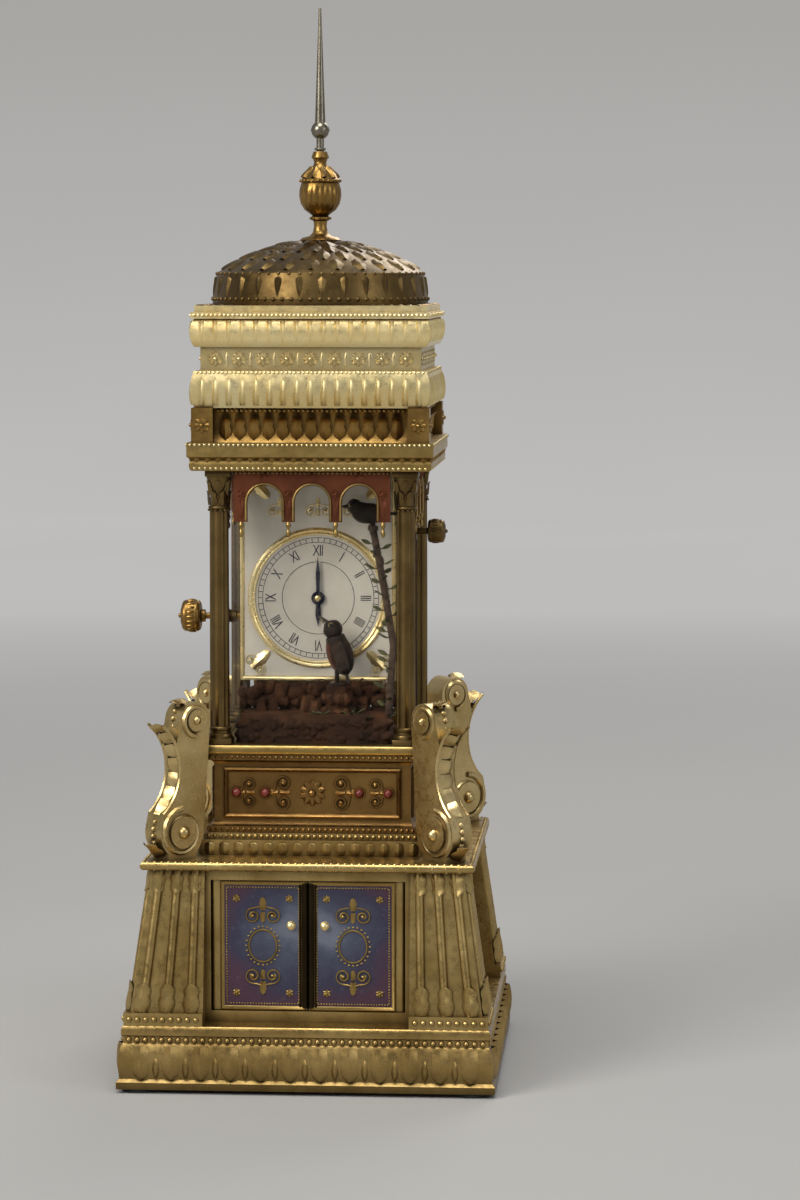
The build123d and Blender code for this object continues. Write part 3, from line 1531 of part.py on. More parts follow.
# Moving board of the bellows and its leather
top_low = bellows_z + bellows_depth
with BuildPart() as bellows_top:
    block(
        bellows_sides,
        (-bellows_front, bellows_back),
        (top_low, top_low + bellows_board_thickness),
    )
    cross_round(bellows_sides[0], bellows_back, hinge_z, 2 * bellows_half, bellows_barrel_radius)
    pin_reach = bellows_half + free_gap + bellows_ear
    cross_round(bellows_x - pin_reach, bellows_back, hinge_z, 2 * pin_reach, bellows_pin_radius)
save(bellows_top, "bellows_top")

with BuildPart() as bellows_leather:
    block(
        (bellows_sides[0] + leather_inset, bellows_sides[1] - leather_inset),
        (-bellows_front + leather_inset, bellows_back - bellows_ear_half - leather_inset),
        (bellows_z, top_low - free_gap),
    )
save(bellows_leather, "bellows_leather")

# Whistle on its post, and the piston that sets its note
whistle_z = bed_top + whistle_rise
whistle_x = bellows_x
with BuildPart() as whistle_tube:
    disc(whistle_x, whistle_z, -bellows_front + whistle_length, whistle_length, whistle_radius)
    post_x = bellows_sides[1] + whistle_post_gap
    post = (post_x, post_x + whistle_post)
    post_front = whistle_post_inset - bellows_front
    post_y = (post_front, post_front + whistle_post_depth)
    block(post, post_y, (bed_top, whistle_z + whistle_post / 2))
    block((whistle_x, post[1]), post_y, (whistle_z - whistle_post / 2, whistle_z + whistle_post / 2))
    bore_depth = whistle_length - whistle_plug
    disc(whistle_x, whistle_z, -bellows_front + whistle_length, bore_depth, whistle_bore, Mode.SUBTRACT)
save(whistle_tube, "whistle_tube")

with BuildPart() as whistle_piston:
    piston_back = -bellows_front + bore_depth
    disc(whistle_x, whistle_z, piston_back, piston_length, whistle_bore - running)
    disc(whistle_x, whistle_z, piston_back + piston_rod, piston_rod, arbor_radius)
save(whistle_piston, "whistle_piston")
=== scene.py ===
import random
from math import asin, atan2, cos, degrees, exp, hypot, pi, radians, sin, sqrt, tau

import bmesh
import bpy
from mathutils import Matrix, Vector
from mathutils.noise import fractal


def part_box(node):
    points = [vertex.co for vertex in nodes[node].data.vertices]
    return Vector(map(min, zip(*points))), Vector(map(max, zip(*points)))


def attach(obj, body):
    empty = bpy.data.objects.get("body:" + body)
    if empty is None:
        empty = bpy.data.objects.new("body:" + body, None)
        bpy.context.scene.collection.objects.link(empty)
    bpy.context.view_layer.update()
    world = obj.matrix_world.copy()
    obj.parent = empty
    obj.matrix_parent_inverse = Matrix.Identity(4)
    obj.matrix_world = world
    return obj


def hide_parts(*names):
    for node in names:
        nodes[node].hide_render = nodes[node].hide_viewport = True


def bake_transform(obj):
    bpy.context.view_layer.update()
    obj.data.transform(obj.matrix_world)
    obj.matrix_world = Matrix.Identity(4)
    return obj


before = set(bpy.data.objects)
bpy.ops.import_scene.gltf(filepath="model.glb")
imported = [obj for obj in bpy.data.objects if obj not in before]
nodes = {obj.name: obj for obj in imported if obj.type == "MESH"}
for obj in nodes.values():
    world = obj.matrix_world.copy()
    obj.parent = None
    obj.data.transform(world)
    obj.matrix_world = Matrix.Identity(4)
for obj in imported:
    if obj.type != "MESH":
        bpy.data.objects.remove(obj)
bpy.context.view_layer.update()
mm = 0.001
shift = Matrix.Translation
random.seed(7)


def turnZ(angle):
    return Matrix.Rotation(angle, 4, "Z")


# Camera at the photograph's angle: a little right of the front and a little above
cameraValues = {"azimuth": 4.0, "elevation": 5.0, "distance": 1.75, "viewHeight": 0.571,
                "aim": (0.0377, 0.0, 0.221), "sensor": 36.0}


def makeCamera(v):
    turn, rise = radians(v["azimuth"]), radians(v["elevation"])
    away = Vector((sin(turn) * cos(rise), -cos(turn) * cos(rise), sin(rise)))
    camera = bpy.data.cameras.new("camera")
    camera.sensor_fit = "VERTICAL"
    camera.sensor_height = v["sensor"]
    camera.lens = v["sensor"] * v["distance"] / v["viewHeight"]
    camera.clip_start = 0.05
    seat = bpy.data.objects.new("camera", camera)
    seat.location = Vector(v["aim"]) + away * v["distance"]
    seat.rotation_euler = (-away).to_track_quat("-Z", "Y").to_euler()
    bpy.context.scene.collection.objects.link(seat)
    bpy.context.scene.camera = seat


makeCamera(cameraValues)
bpy.context.scene.view_settings.view_transform = "Standard"
print("camera set")


# Node helpers for the materials
def put(node, **values):
    for name, value in values.items():
        node.inputs[name.replace("_", " ")].default_value = value


def newMaterial(name):
    material = bpy.data.materials.new(name)
    material.use_nodes = True
    tree = material.node_tree
    tree.nodes.clear()
    out = tree.nodes.new("ShaderNodeOutputMaterial")
    shader = tree.nodes.new("ShaderNodeBsdfPrincipled")
    tree.links.new(shader.outputs[0], out.inputs[0])
    where = tree.nodes.new("ShaderNodeTexCoord")
    return material, tree, shader, where.outputs["Object"]


def noise(tree, where, scale, detail, rough=0.6):
    node = tree.nodes.new("ShaderNodeTexNoise")
    put(node, Scale=scale, Detail=detail, Roughness=rough)
    tree.links.new(where, node.inputs["Vector"])
    return node.outputs["Fac"]


def ramp(tree, value, stops):
    node = tree.nodes.new("ShaderNodeValToRGB")
    points = node.color_ramp.elements
    while len(points) < len(stops):
        points.new(0.5)
    for point, (place, colour) in zip(points, stops):
        point.position = place
        point.color = (*colour, 1.0)
    tree.links.new(value, node.inputs[0])
    return node.outputs[0]


def blendColour(tree, factor, first, second, mode="MIX"):
    node = tree.nodes.new("ShaderNodeMix")
    node.data_type = "RGBA"
    node.blend_type = mode
    for socket, value in ((node.inputs[0], factor), (node.inputs[6], first), (node.inputs[7], second)):
        if isinstance(value, (int, float)):
            socket.default_value = value
        elif isinstance(value, tuple):
            socket.default_value = (*value, 1.0)
        else:
            tree.links.new(value, socket)
    return node.outputs[2]


def spread(tree, value, low, high, fromLow=0.3, fromHigh=0.7):
    node = tree.nodes.new("ShaderNodeMapRange")
    for index, number in ((1, fromLow), (2, fromHigh), (3, low), (4, high)):
        node.inputs[index].default_value = number
    tree.links.new(value, node.inputs[0])
    return node.outputs[0]


def sums(tree, kind, first, second=None):
    node = tree.nodes.new("ShaderNodeMath")
    node.operation = kind
    for socket, value in ((node.inputs[0], first), (node.inputs[1], second)):
        if value is None:
            continue
        if isinstance(value, (int, float)):
            socket.default_value = value
        else:
            tree.links.new(value, socket)
    return node.outputs[0]


def paint(tree, shader, colour):
    tree.links.new(colour, shader.inputs["Base Color"])


def parts(tree, where):
    # The X, Y and Z of a place, as sockets
    node = tree.nodes.new("ShaderNodeSeparateXYZ")
    tree.links.new(where, node.inputs[0])
    return node.outputs


def bump(tree, shader, height, depth, strength):
    node = tree.nodes.new("ShaderNodeBump")
    put(node, Strength=strength, Distance=depth)
    tree.links.new(height, node.inputs["Height"])
    tree.links.new(node.outputs[0], shader.inputs["Normal"])


def crevice(tree, reach):
    node = tree.nodes.new("ShaderNodeAmbientOcclusion")
    node.samples = 6
    put(node, Distance=reach)
    return node.outputs["AO"]


# Metals: bright on the open surfaces, darker in the hollows, partly for the dirt that settles there and
# partly as painted shade.
# A span with painted shades darkens a metal by its height, as painted light and shade on bands that face the
# light or lie away from it: each shade is a share of the span and a factor
metalValues = {
    "gilt": {"bright": (0.97, 0.80, 0.42), "worn": (0.82, 0.61, 0.25), "dirtAndShade": (0.16, 0.09, 0.03),
             "rough": (0.24, 0.42), "grain": 260.0, "depth": 0.00004, "reach": 0.004},
    # The cornice's gilt is brighter than the rest as painted light on its lit bands, and painted shade
    # darkens its lower course and middle step
    "corniceGiltPaintedLight": {"bright": (1.0, 0.84, 0.45), "worn": (0.94, 0.71, 0.30), "dirtAndShade": (0.22, 0.13, 0.05),
                    "rough": (0.24, 0.42), "grain": 260.0, "depth": 0.00004, "reach": 0.004,
                    "span": (0.28, 0.36),
                    "paintedShades": [(0.3, 0.62), (0.4, 0.80), (0.6, 0.88), (0.65, 0.68), (0.76, 0.68),
                               (0.82, 1.0)]},
    "agedGilt": {"bright": (0.53, 0.38, 0.15), "worn": (0.34, 0.225, 0.075), "dirtAndShade": (0.05, 0.027, 0.009),
                 "rough": (0.22, 0.42), "grain": 250.0, "depth": 0.00005, "reach": 0.008},
    # The plinth's gilt has painted shade by height: darkest at its foot, full bright near its top
    "plinthGiltPaintedShade": {"bright": (0.50, 0.34, 0.125), "worn": (0.32, 0.205, 0.066), "dirtAndShade": (0.045, 0.024, 0.008),
                   "rough": (0.22, 0.42), "grain": 250.0, "depth": 0.00005, "reach": 0.008,
                   "span": (0.0, 0.031),
                   "paintedShades": [(0.0, 0.42), (0.25, 0.62), (0.55, 0.95), (0.8, 1.0), (1.0, 0.85)]},
    "scrollGilt": {"bright": (0.68, 0.52, 0.25), "worn": (0.46, 0.33, 0.13), "dirtAndShade": (0.06, 0.034, 0.012),
                   "rough": (0.22, 0.42), "grain": 250.0, "depth": 0.00005, "reach": 0.007},
    "stageBrown": {"bright": (0.27, 0.155, 0.048), "worn": (0.17, 0.09, 0.028), "dirtAndShade": (0.03, 0.014, 0.006),
                   "rough": (0.24, 0.44), "grain": 240.0, "depth": 0.00006, "reach": 0.006},
    "brownGiltAndFriezeShade": {"bright": (0.34, 0.205, 0.06), "worn": (0.22, 0.125, 0.035), "dirtAndShade": (0.035, 0.018, 0.007),
                "rough": (0.24, 0.44), "grain": 240.0, "depth": 0.00006, "reach": 0.006},
    "oldGilt": {"bright": (0.39, 0.27, 0.093), "worn": (0.32, 0.21, 0.066), "dirtAndShade": (0.05, 0.028, 0.01),
                "rough": (0.26, 0.46), "grain": 240.0, "depth": 0.00006, "reach": 0.006},
    "bronze": {"bright": (0.175, 0.115, 0.042), "worn": (0.10, 0.062, 0.022), "dirtAndShade": (0.02, 0.012, 0.006),
               "rough": (0.28, 0.5), "grain": 200.0, "depth": 0.00008, "reach": 0.006},
    # Near-black bronze for the beads down the doors' meeting line: painted shadow of the gap between the
    # doors
    "gapShadeBronze": {"bright": (0.035, 0.024, 0.012), "worn": (0.02, 0.013, 0.007),
                   "dirtAndShade": (0.008, 0.005, 0.003), "rough": (0.3, 0.5), "grain": 300.0, "depth": 0.00004,
                   "reach": 0.003},
    "reddishBronze": {"bright": (0.21, 0.07, 0.035), "worn": (0.12, 0.042, 0.022),
                      "dirtAndShade": (0.03, 0.012, 0.008), "rough": (0.3, 0.5), "grain": 220.0, "depth": 0.00006,
                      "reach": 0.005},
    "movementBrass": {"bright": (0.80, 0.58, 0.25), "worn": (0.70, 0.48, 0.18), "dirtAndShade": (0.14, 0.08, 0.03),
                      "rough": (0.22, 0.36), "grain": 500.0, "depth": 0.00002, "reach": 0.003},
    "steel": {"bright": (0.60, 0.60, 0.60), "worn": (0.46, 0.46, 0.47), "dirtAndShade": (0.08, 0.07, 0.06),
              "rough": (0.18, 0.34), "grain": 500.0, "depth": 0.00002, "reach": 0.003},
    "blued": {"bright": (0.035, 0.04, 0.075), "worn": (0.02, 0.02, 0.035), "dirtAndShade": (0.01, 0.008, 0.008),
              "rough": (0.2, 0.34), "grain": 400.0, "depth": 0.00002, "reach": 0.003},
    "silvered": {"bright": (0.24, 0.22, 0.17), "worn": (0.16, 0.14, 0.10), "dirtAndShade": (0.12, 0.10, 0.07),
                 "rough": (0.22, 0.4), "grain": 260.0, "depth": 0.00004, "reach": 0.004},
}


def makeMetal(name, v):
    material, tree, shader, where = newMaterial(name)
    patches = noise(tree, where, 34.0, 4.0)
    colour = ramp(tree, patches, [(0.34, v["worn"]), (0.62, v["bright"])])
    speckle = noise(tree, where, v["grain"], 4.0, 0.7)
    stain = spread(tree, noise(tree, where, 90.0, 5.0, 0.7), 0.0, 0.5, 0.56, 0.78)
    colour = blendColour(tree, stain, colour, v["worn"])
    # Dirt and painted shade: ambient occlusion finds the hollows, which darken towards the dirt-and-shade
    # colour
    hollow = spread(tree, crevice(tree, v["reach"]), 1.0, 0.0, 0.35, 0.9)
    colour = blendColour(tree, sums(tree, "MULTIPLY", hollow, 0.85), colour, v["dirtAndShade"])
    # Painted light and shade by height, for bands that the light falls on and bands that it misses
    if "span" in v:
        height = spread(tree, parts(tree, where)[2], 0.0, 1.0, *v["span"])
        shade = ramp(tree, height, [(place, (dark, dark, dark)) for place, dark in v["paintedShades"]])
        colour = blendColour(tree, 1.0, colour, shade, "MULTIPLY")
    paint(tree, shader, colour)
    put(shader, Metallic=1.0)
    rough = spread(tree, speckle, v["rough"][0], v["rough"][1], 0.35, 0.7)
    tree.links.new(sums(tree, "ADD", rough, sums(tree, "MULTIPLY", hollow, 0.25)), shader.inputs["Roughness"])
    bump(tree, shader, speckle, v["depth"], 0.6)
    return material


metals = {name: makeMetal(name, values) for name, values in metalValues.items()}


# Soft and coloured finishes
def makeMatte(name, first, second, scale, rough, depth, sheen=0.0, gloss=0.5):
    material, tree, shader, where = newMaterial(name)
    body = noise(tree, where, scale, 6.0, 0.65)
    colour = ramp(tree, body, [(0.35, first), (0.65, second)])
    # Painted shade: hollows that the ambient occlusion finds darken towards a quarter of the darker colour
    hollow = spread(tree, crevice(tree, 0.006), 1.0, 0.0, 0.3, 0.9)
    colour = blendColour(tree, sums(tree, "MULTIPLY", hollow, 0.7), colour, tuple(c * 0.25 for c in first))
    paint(tree, shader, colour)
    put(shader, Roughness=rough, Sheen_Weight=sheen, Specular_IOR_Level=gloss)
    bump(tree, shader, noise(tree, where, scale * 4.0, 6.0, 0.7), depth, 0.8)
    return material


# Each finish: two colours, the grain's scale, roughness and depth, then sheen and gloss where they differ
matteValues = {
    "rock": ((0.026, 0.012, 0.006), (0.105, 0.044, 0.018), 90.0, 0.8, 0.0006, 0.0, 0.12),
    "moss": ((0.035, 0.045, 0.012), (0.12, 0.11, 0.035), 240.0, 0.9, 0.0003),
    "bark": ((0.035, 0.02, 0.012), (0.11, 0.065, 0.035), 300.0, 0.85, 0.0003),
    "darkPlumage": ((0.008, 0.005, 0.003), (0.030, 0.017, 0.009), 260.0, 0.55, 0.0002, 0.02, 0.2),
    "wingPlumage": ((0.016, 0.010, 0.006), (0.055, 0.031, 0.016), 300.0, 0.5, 0.0002, 0.02, 0.25),
    "redPlumage": ((0.05, 0.012, 0.006), (0.13, 0.035, 0.015), 260.0, 0.55, 0.0002, 0.02, 0.25),
    "beakHorn": ((0.16, 0.10, 0.04), (0.30, 0.20, 0.09), 400.0, 0.35, 0.0001),
    "redLacquer": ((0.12, 0.015, 0.010), (0.20, 0.03, 0.02), 160.0, 0.3, 0.0001),
    "kid": ((0.55, 0.45, 0.32), (0.74, 0.64, 0.48), 180.0, 0.7, 0.0002, 0.2),
    "eye": ((0.004, 0.003, 0.003), (0.012, 0.008, 0.006), 300.0, 0.08, 0.00001),
    "felt": ((0.012, 0.02, 0.014), (0.03, 0.045, 0.03), 900.0, 0.95, 0.0003, 0.4),
}
mattes = {name: makeMatte(name, *values) for name, values in matteValues.items()}


def makeGlass():
    material, _, shader, _ = newMaterial("lanternGlass")
    put(shader, Base_Color=(0.9, 0.94, 0.92, 1.0), Roughness=0.02, Specular_IOR_Level=0.3,
        Transmission_Weight=1.0, Alpha=0.06)
    return material


glassFinish = makeGlass()


def makeDialEnamel():
    material, tree, shader, where = newMaterial("dialEnamel")
    cloud = noise(tree, where, 40.0, 4.0)
    colour = ramp(tree, cloud, [(0.3, (0.62, 0.56, 0.45)), (0.7, (0.74, 0.69, 0.58))])
    paint(tree, shader, colour)
    put(shader, Roughness=0.18, Coat_Weight=0.5)
    bump(tree, shader, noise(tree, where, 160.0, 3.0), 0.00003, 0.5)
    return material


dialEnamel = makeDialEnamel()


def makeWood():
    material, tree, shader, where = newMaterial("waxedWood")
    stretch = tree.nodes.new("ShaderNodeMapping")
    put(stretch, Scale=(1.0, 9.0, 9.0))
    tree.links.new(where, stretch.inputs["Vector"])
    grain = noise(tree, stretch.outputs[0], 40.0, 8.0, 0.7)
    colour = ramp(tree, grain, [(0.35, (0.10, 0.042, 0.015)), (0.6, (0.24, 0.11, 0.045))])
    paint(tree, shader, colour)
    put(shader, Roughness=0.42)
    bump(tree, shader, grain, 0.0002, 0.5)
    return material


waxedWood = makeWood()
print("materials made")

# Every carried-over part takes its own finish
finishes = [
    (mattes["felt"], "foot_pads"),
    (metals["plinthGiltPaintedShade"], "plinth"),
    (metals["agedGilt"], "corner_piers wall_frames left_door right_door body_cornice"),
    (metals["oldGilt"], "side_panels back_cover lantern_floor rear_door architrave"),
    (metals["steel"], "back_cover_screws pallet_lever cam_lever push_rod whistle_piston"),
    (metals["stageBrown"], "stage_walls"),
    (metals["scrollGilt"], "corner_scrolls"),
    (mattes["bark"], "perch_branch"),
    (mattes["rock"], "rock_mound"),
    (metals["bronze"], "lantern_columns dome knob_bushes set_knob"),
    (glassFinish, "lantern_glass rear_door_glass"),
    (metals["reddishBronze"], "valances"),
    # On the frieze this browned gilt is partly painted shade, darkening the recess under the cornice
    (metals["brownGiltAndFriezeShade"], "frieze finial_urn start_knob"),
    (metals["corniceGiltPaintedLight"], "cornice"),
    (metals["silvered"], "spire"),
    (waxedWood, "movement_seat bellows_top"),
    (metals["movementBrass"], "movement_plates movement_pillars going_barrel centre_wheel third_wheel "
     "escape_wheel balance_wheel minute_wheel song_frame song_barrel song_cams song_fly whistle_tube"),
    (dialEnamel, "dial_plate"),
    (metals["blued"], "hour_hand minute_hand"),
    (mattes["darkPlumage"], "bird_body bird_head bird_tail bird_left_wing bird_right_wing second_bird"),
    (mattes["beakHorn"], "bird_beak"),
    (mattes["kid"], "bellows_leather"),
]
for finish, names in finishes:
    for nodeName in names.split():
        mesh = nodes[nodeName].data
        mesh.materials.clear()
        mesh.materials.append(finish)
print("finishes on", len(nodes), "parts")


# Mesh helpers: shapes are built small, in millimetres, and copied into the piece that they belong to
def stamp(bm, small, matrices=(Matrix(),)):
    data = bpy.data.meshes.new("stamp")
    small.to_mesh(data)
    small.free()
    for matrix in matrices:
        data.transform(matrix)
        bm.from_mesh(data, face_normals=False, vertex_normals=False)
        data.transform(matrix.inverted())
    bpy.data.meshes.remove(data)


def makePiece(name, bm, finish, body, replaced=(), angle=35):
    bmesh.ops.recalc_face_normals(bm, faces=bm.faces)
    bmesh.ops.scale(bm, verts=bm.verts, vec=(mm, mm, mm))
    data = bpy.data.meshes.new(name)
    bm.to_mesh(data)
    bm.free()
    data.polygons.foreach_set("use_smooth", [True] * len(data.polygons))
    data.set_sharp_from_angle(angle=radians(angle))
    data.materials.append(finish)
    piece = bpy.data.objects.new(name, data)
    bpy.context.scene.collection.objects.link(piece)
    if isinstance(body, tuple):
        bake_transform(piece)
    else:
        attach(piece, body)
    if replaced:
        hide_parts(*replaced)
    return piece


def axes(origin, along, out):
    # A matrix whose Y runs along, whose Z looks out, and whose X is across them
    along, out = Vector(along).normalized(), Vector(out).normalized()
    across = along.cross(out).normalized()
    out = across.cross(along)
    turn = Matrix((across, along, out)).transposed().to_4x4()
    return shift(Vector(origin)) @ turn


def facing(origin, away=-1):
    # A frame that stands upright on a wall and looks to the front, or to the back where away is 1
    return axes(origin, (0, 0, 1), (0, away, 0))


def spinProfile(bm, profile, steps, start=(1, 0), matrices=(Matrix(),), shape=None):
    # A profile of radius and height, spun once about a vertical axis, and shaped further if asked
    small = bmesh.new()
    verts = [small.verts.new((r * start[0], r * start[1], z)) for r, z in profile]
    edges = [small.edges.new(pair) for pair in zip(verts, verts[1:])]
    bmesh.ops.spin(small, geom=verts + edges, cent=(0, 0, 0), axis=(0, 0, 1), angle=tau, steps=steps,
                   use_merge=True)
    bmesh.ops.remove_doubles(small, verts=small.verts, dist=0.0005)
    if shape:
        for vert in small.verts:
            vert.co = shape(vert.co)
    stamp(bm, small, matrices)


def squareMoulding(bm, profile):
    # A profile of half width and height, taken round the four sides with mitred corners
    spinProfile(bm, profile, 4, start=(1, 1))


def box(bm, low, high, bevel=0.0, matrices=(Matrix(),)):
    low, high = Vector(low), Vector(high)
    small = bmesh.new()
    place = shift((low + high) / 2) @ Matrix.Diagonal((*(high - low), 1))
    bmesh.ops.create_cube(small, size=1.0, matrix=place)
    if bevel:
        bmesh.ops.bevel(small, geom=small.edges[:], offset=bevel, segments=2, profile=0.5, affect="EDGES",
                        material=-1)
    stamp(bm, small, matrices)


def balls(bm, places, radius, u=8, v=5, squash=(1, 1, 1)):
    small = bmesh.new()
    shape = Matrix.Diagonal((*squash, 1))
    bmesh.ops.create_uvsphere(small, u_segments=u, v_segments=v, radius=radius, matrix=shape)
    stamp(bm, small, [shift(place) for place in places])


def ball(bm, place, radius, u=8, v=5, squash=(1, 1, 1)):
    balls(bm, [place], radius, u, v, squash)


def between(first, last, count):
    first, last = Vector(first), Vector(last)
    return [first.lerp(last, (index + 0.5) / count) for index in range(count)]


def beadRow(bm, first, last, count, radius, squash=(1, 1, 1)):
    balls(bm, between(first, last, count), radius, squash=squash)


def ringOf(count, radius, z=0.0, phase=0.0):
    turns = [phase + tau * index / count for index in range(count)]
    return [Vector((radius * cos(turn), radius * sin(turn), z)) for turn in turns]


def heading(angle):
    # A level direction, by its degrees from X towards Y
    return Vector((cos(radians(angle)), sin(radians(angle)), 0))


def rising(angle):
    # A direction in the front's plane, by its degrees from X upwards
    return Vector((cos(radians(angle)), 0, sin(radians(angle))))


def sideLine(turn, half, reach, z):
    # The two ends of a level line along the side that turn gives, half away from the clock's middle
    return turn @ Vector((-reach, -half, z)), turn @ Vector((reach, -half, z))


def beadRows(bm, turn, rows):
    # Each row along a side: how far out it lies, half its length, its height, its count and its radius
    for out, reach, z, count, radius in rows:
        beadRow(bm, *sideLine(turn, out, reach, z), count, radius)


def outAndUp(turn, out, up):
    # A direction with a share out of the side that turn gives and a share upwards
    return turn.to_3x3() @ Vector((0, -out, up))


def fourSides(build, sides=(0, 1, 2, 3)):
    # Calls build(turn) for the front, right, back and left side
    for side in sides:
        build(turnZ(pi / 2 * side))


def tube(bm, points, radii, sides, caps=True):
    # A round bar through points, thick as the radii say
    points = [Vector(p) for p in points]
    radii = radii if isinstance(radii, (list, tuple)) else [radii] * len(points)
    small, rings, up = bmesh.new(), [], None
    for index, (point, radius) in enumerate(zip(points, radii)):
        ahead = points[min(index + 1, len(points) - 1)] - points[max(index - 1, 0)]
        ahead.normalize()
        up = ahead.orthogonal() if up is None else up
        up = (up - ahead * up.dot(ahead)).normalized()
        made = bmesh.ops.create_circle(small, segments=sides, radius=radius, matrix=axes(point, up, ahead))
        rings.append(list({edge for vert in made["verts"] for edge in vert.link_edges}))
    for first, second in zip(rings, rings[1:]):
        bmesh.ops.bridge_loops(small, edges=first + second)
    if caps:
        bmesh.ops.holes_fill(small, edges=[edge for edge in small.edges if edge.is_boundary])
    stamp(bm, small)


def spiral(centre, radius, turns, hand=1, start=0.0, shrink=0.18):
    # Points of a flat spiral from its outer end to its eye
    count, line = int(18 * turns), []
    for index in range(count + 1):
        share = index / count
        angle = start + hand * tau * turns * share
        reach = radius * ((1 - share) ** 0.8 * (1 - shrink) + shrink)
        line.append((centre[0] + reach * cos(angle), centre[1] + reach * sin(angle)))
    return line


def leaves(bm, matrices, length, width, lobes=3, curl=0.35, cup=0.3, rib=0.12, cells=(6, 8)):
    # Carved leaves: local Y runs along each, local Z looks out of the surface that it lies on
    small = bmesh.new()
    for vert in bmesh.ops.create_grid(small, x_segments=cells[0], y_segments=cells[1], size=1)["verts"]:
        u, v = vert.co.x, (vert.co.y + 1) / 2
        body = sin(pi * min(1, 0.12 + 0.88 * v)) ** 0.55
        notch = 1 - 0.3 * abs(cos(pi * lobes * v)) ** 3 * min(1, 4 * v)
        across = u * width / 2 * max(0.02, body * notch)
        lift = cup * width / 2 * (1 - u * u) * body
        lift += rib * width * (1 - abs(u)) ** 4 * (1 - v)
        lift -= 0.06 * width * abs(sin(pi * lobes * v)) * abs(u)
        tip = max(0, v - 0.55) / 0.45
        lift += curl * length * 0.3 * tip * tip
        vert.co = Vector((across, length * (v - 0.06 * tip * tip * curl * 3), lift))
    stamp(bm, small, matrices)


def leaf(bm, matrix, length, width, **kw):
    leaves(bm, [matrix], length, width, **kw)


def leafRow(bm, first, last, count, along, out, length, width, **kw):
    leaves(bm, [axes(place, along, out) for place in between(first, last, count)], length, width, **kw)


def beadFrame(bm, matrix, halfWidth, halfHeight, rise, counts, radius, top=None):
    # Beads up both sides and along the top and the bottom of a frame
    top = top or halfHeight
    for a in (-1, 1):
        for edge, reach, count in (((a * halfWidth, 0, rise), (0, halfHeight, 0), counts[0]),
                                   ((0, a * top, rise), (halfWidth, 0, 0), counts[1])):
            ends = [matrix @ (Vector(edge) + Vector(reach) * end) for end in (-1, 1)]
            beadRow(bm, *ends, count, radius)


def rosette(bm, matrix, radius, petals):
    # A small flower: a ring of petals round a bead
    turns = [matrix @ turnZ(tau * petal / petals) for petal in range(petals)]
    leaves(bm, turns, radius, radius * 0.75, lobes=1, curl=0.3, cup=0.5, rib=0.0, cells=(3, 4))
    ball(bm, matrix @ Vector((0, 0, radius * 0.175)), radius * 0.26)


def frameMoulding(bm, matrix, halfWidth, halfHeight, steps):
    # A picture frame: each step is an inset from the outer edge and a height over the ground
    small, rings = bmesh.new(), []
    for inset, height in steps:
        made = bmesh.ops.create_grid(small, x_segments=1, y_segments=1, size=1)["verts"]
        for vert in made:
            vert.co = Vector((vert.co.x * (halfWidth - inset), vert.co.y * (halfHeight - inset), height))
        faces = list({face for vert in made for face in vert.link_faces})
        bmesh.ops.delete(small, geom=faces, context="FACES_ONLY")
        rings.append(list({edge for vert in made for edge in vert.link_edges}))
    for first, second in zip(rings, rings[1:]):
        bmesh.ops.bridge_loops(small, edges=first + second)
    stamp(bm, small, [matrix])


def scrollPair(bm, matrix, size, radius):
    # Generic scrollwork: two mirrored C scrolls with a leaf between them
    for hand in (-1, 1):
        line = spiral((hand * size * 0.52, 0), size * 0.42, 1.4, hand=-hand, start=pi / 2 + 0.2 * hand)
        thick = [radius * (0.55 + 0.75 * (i / len(line))) for i in range(len(line))]
        tube(bm, [matrix @ Vector((x, y, radius * 0.4)) for x, y in line], thick, 6)
        foot = [(hand * size * t, size * (0.42 + 0.5 * (t - 0.52) ** 2)) for t in (0.5, 0.3, 0.12, 0.0)]
        tube(bm, [matrix @ Vector((x, y, radius * 0.4)) for x, y in foot], radius * 0.6, 6)
        ball(bm, matrix @ Vector((hand * size * 0.52, 0, radius)), radius * 1.5)
    leaf(bm, matrix @ shift((0, size * 0.3, 0)), size * 0.75, size * 0.42, curl=0.4)
    leaf(bm, matrix @ turnZ(pi) @ shift((0, -size * 0.2, 0)), size * 0.6, size * 0.34, curl=0.4)


print("helpers ready")

gilt, agedGilt, oldGilt, bronze = (metals[name] for name in ("gilt", "agedGilt", "oldGilt", "bronze"))

# Plinth: a swelling moulding with two rows of leaves under a row of beads
plinthValues = {"foot": 87.2, "swell": 86.6, "top": 85.0, "low": 2.0, "high": 31.0, "board": 26.0,
                "inner": 67.1, "leaves": 12, "leafRows": ((85.0, 21.8), (85.2, 17.0)),
                "beads": [(84.3, 83.4, 24.6, 44, 1.35)]}


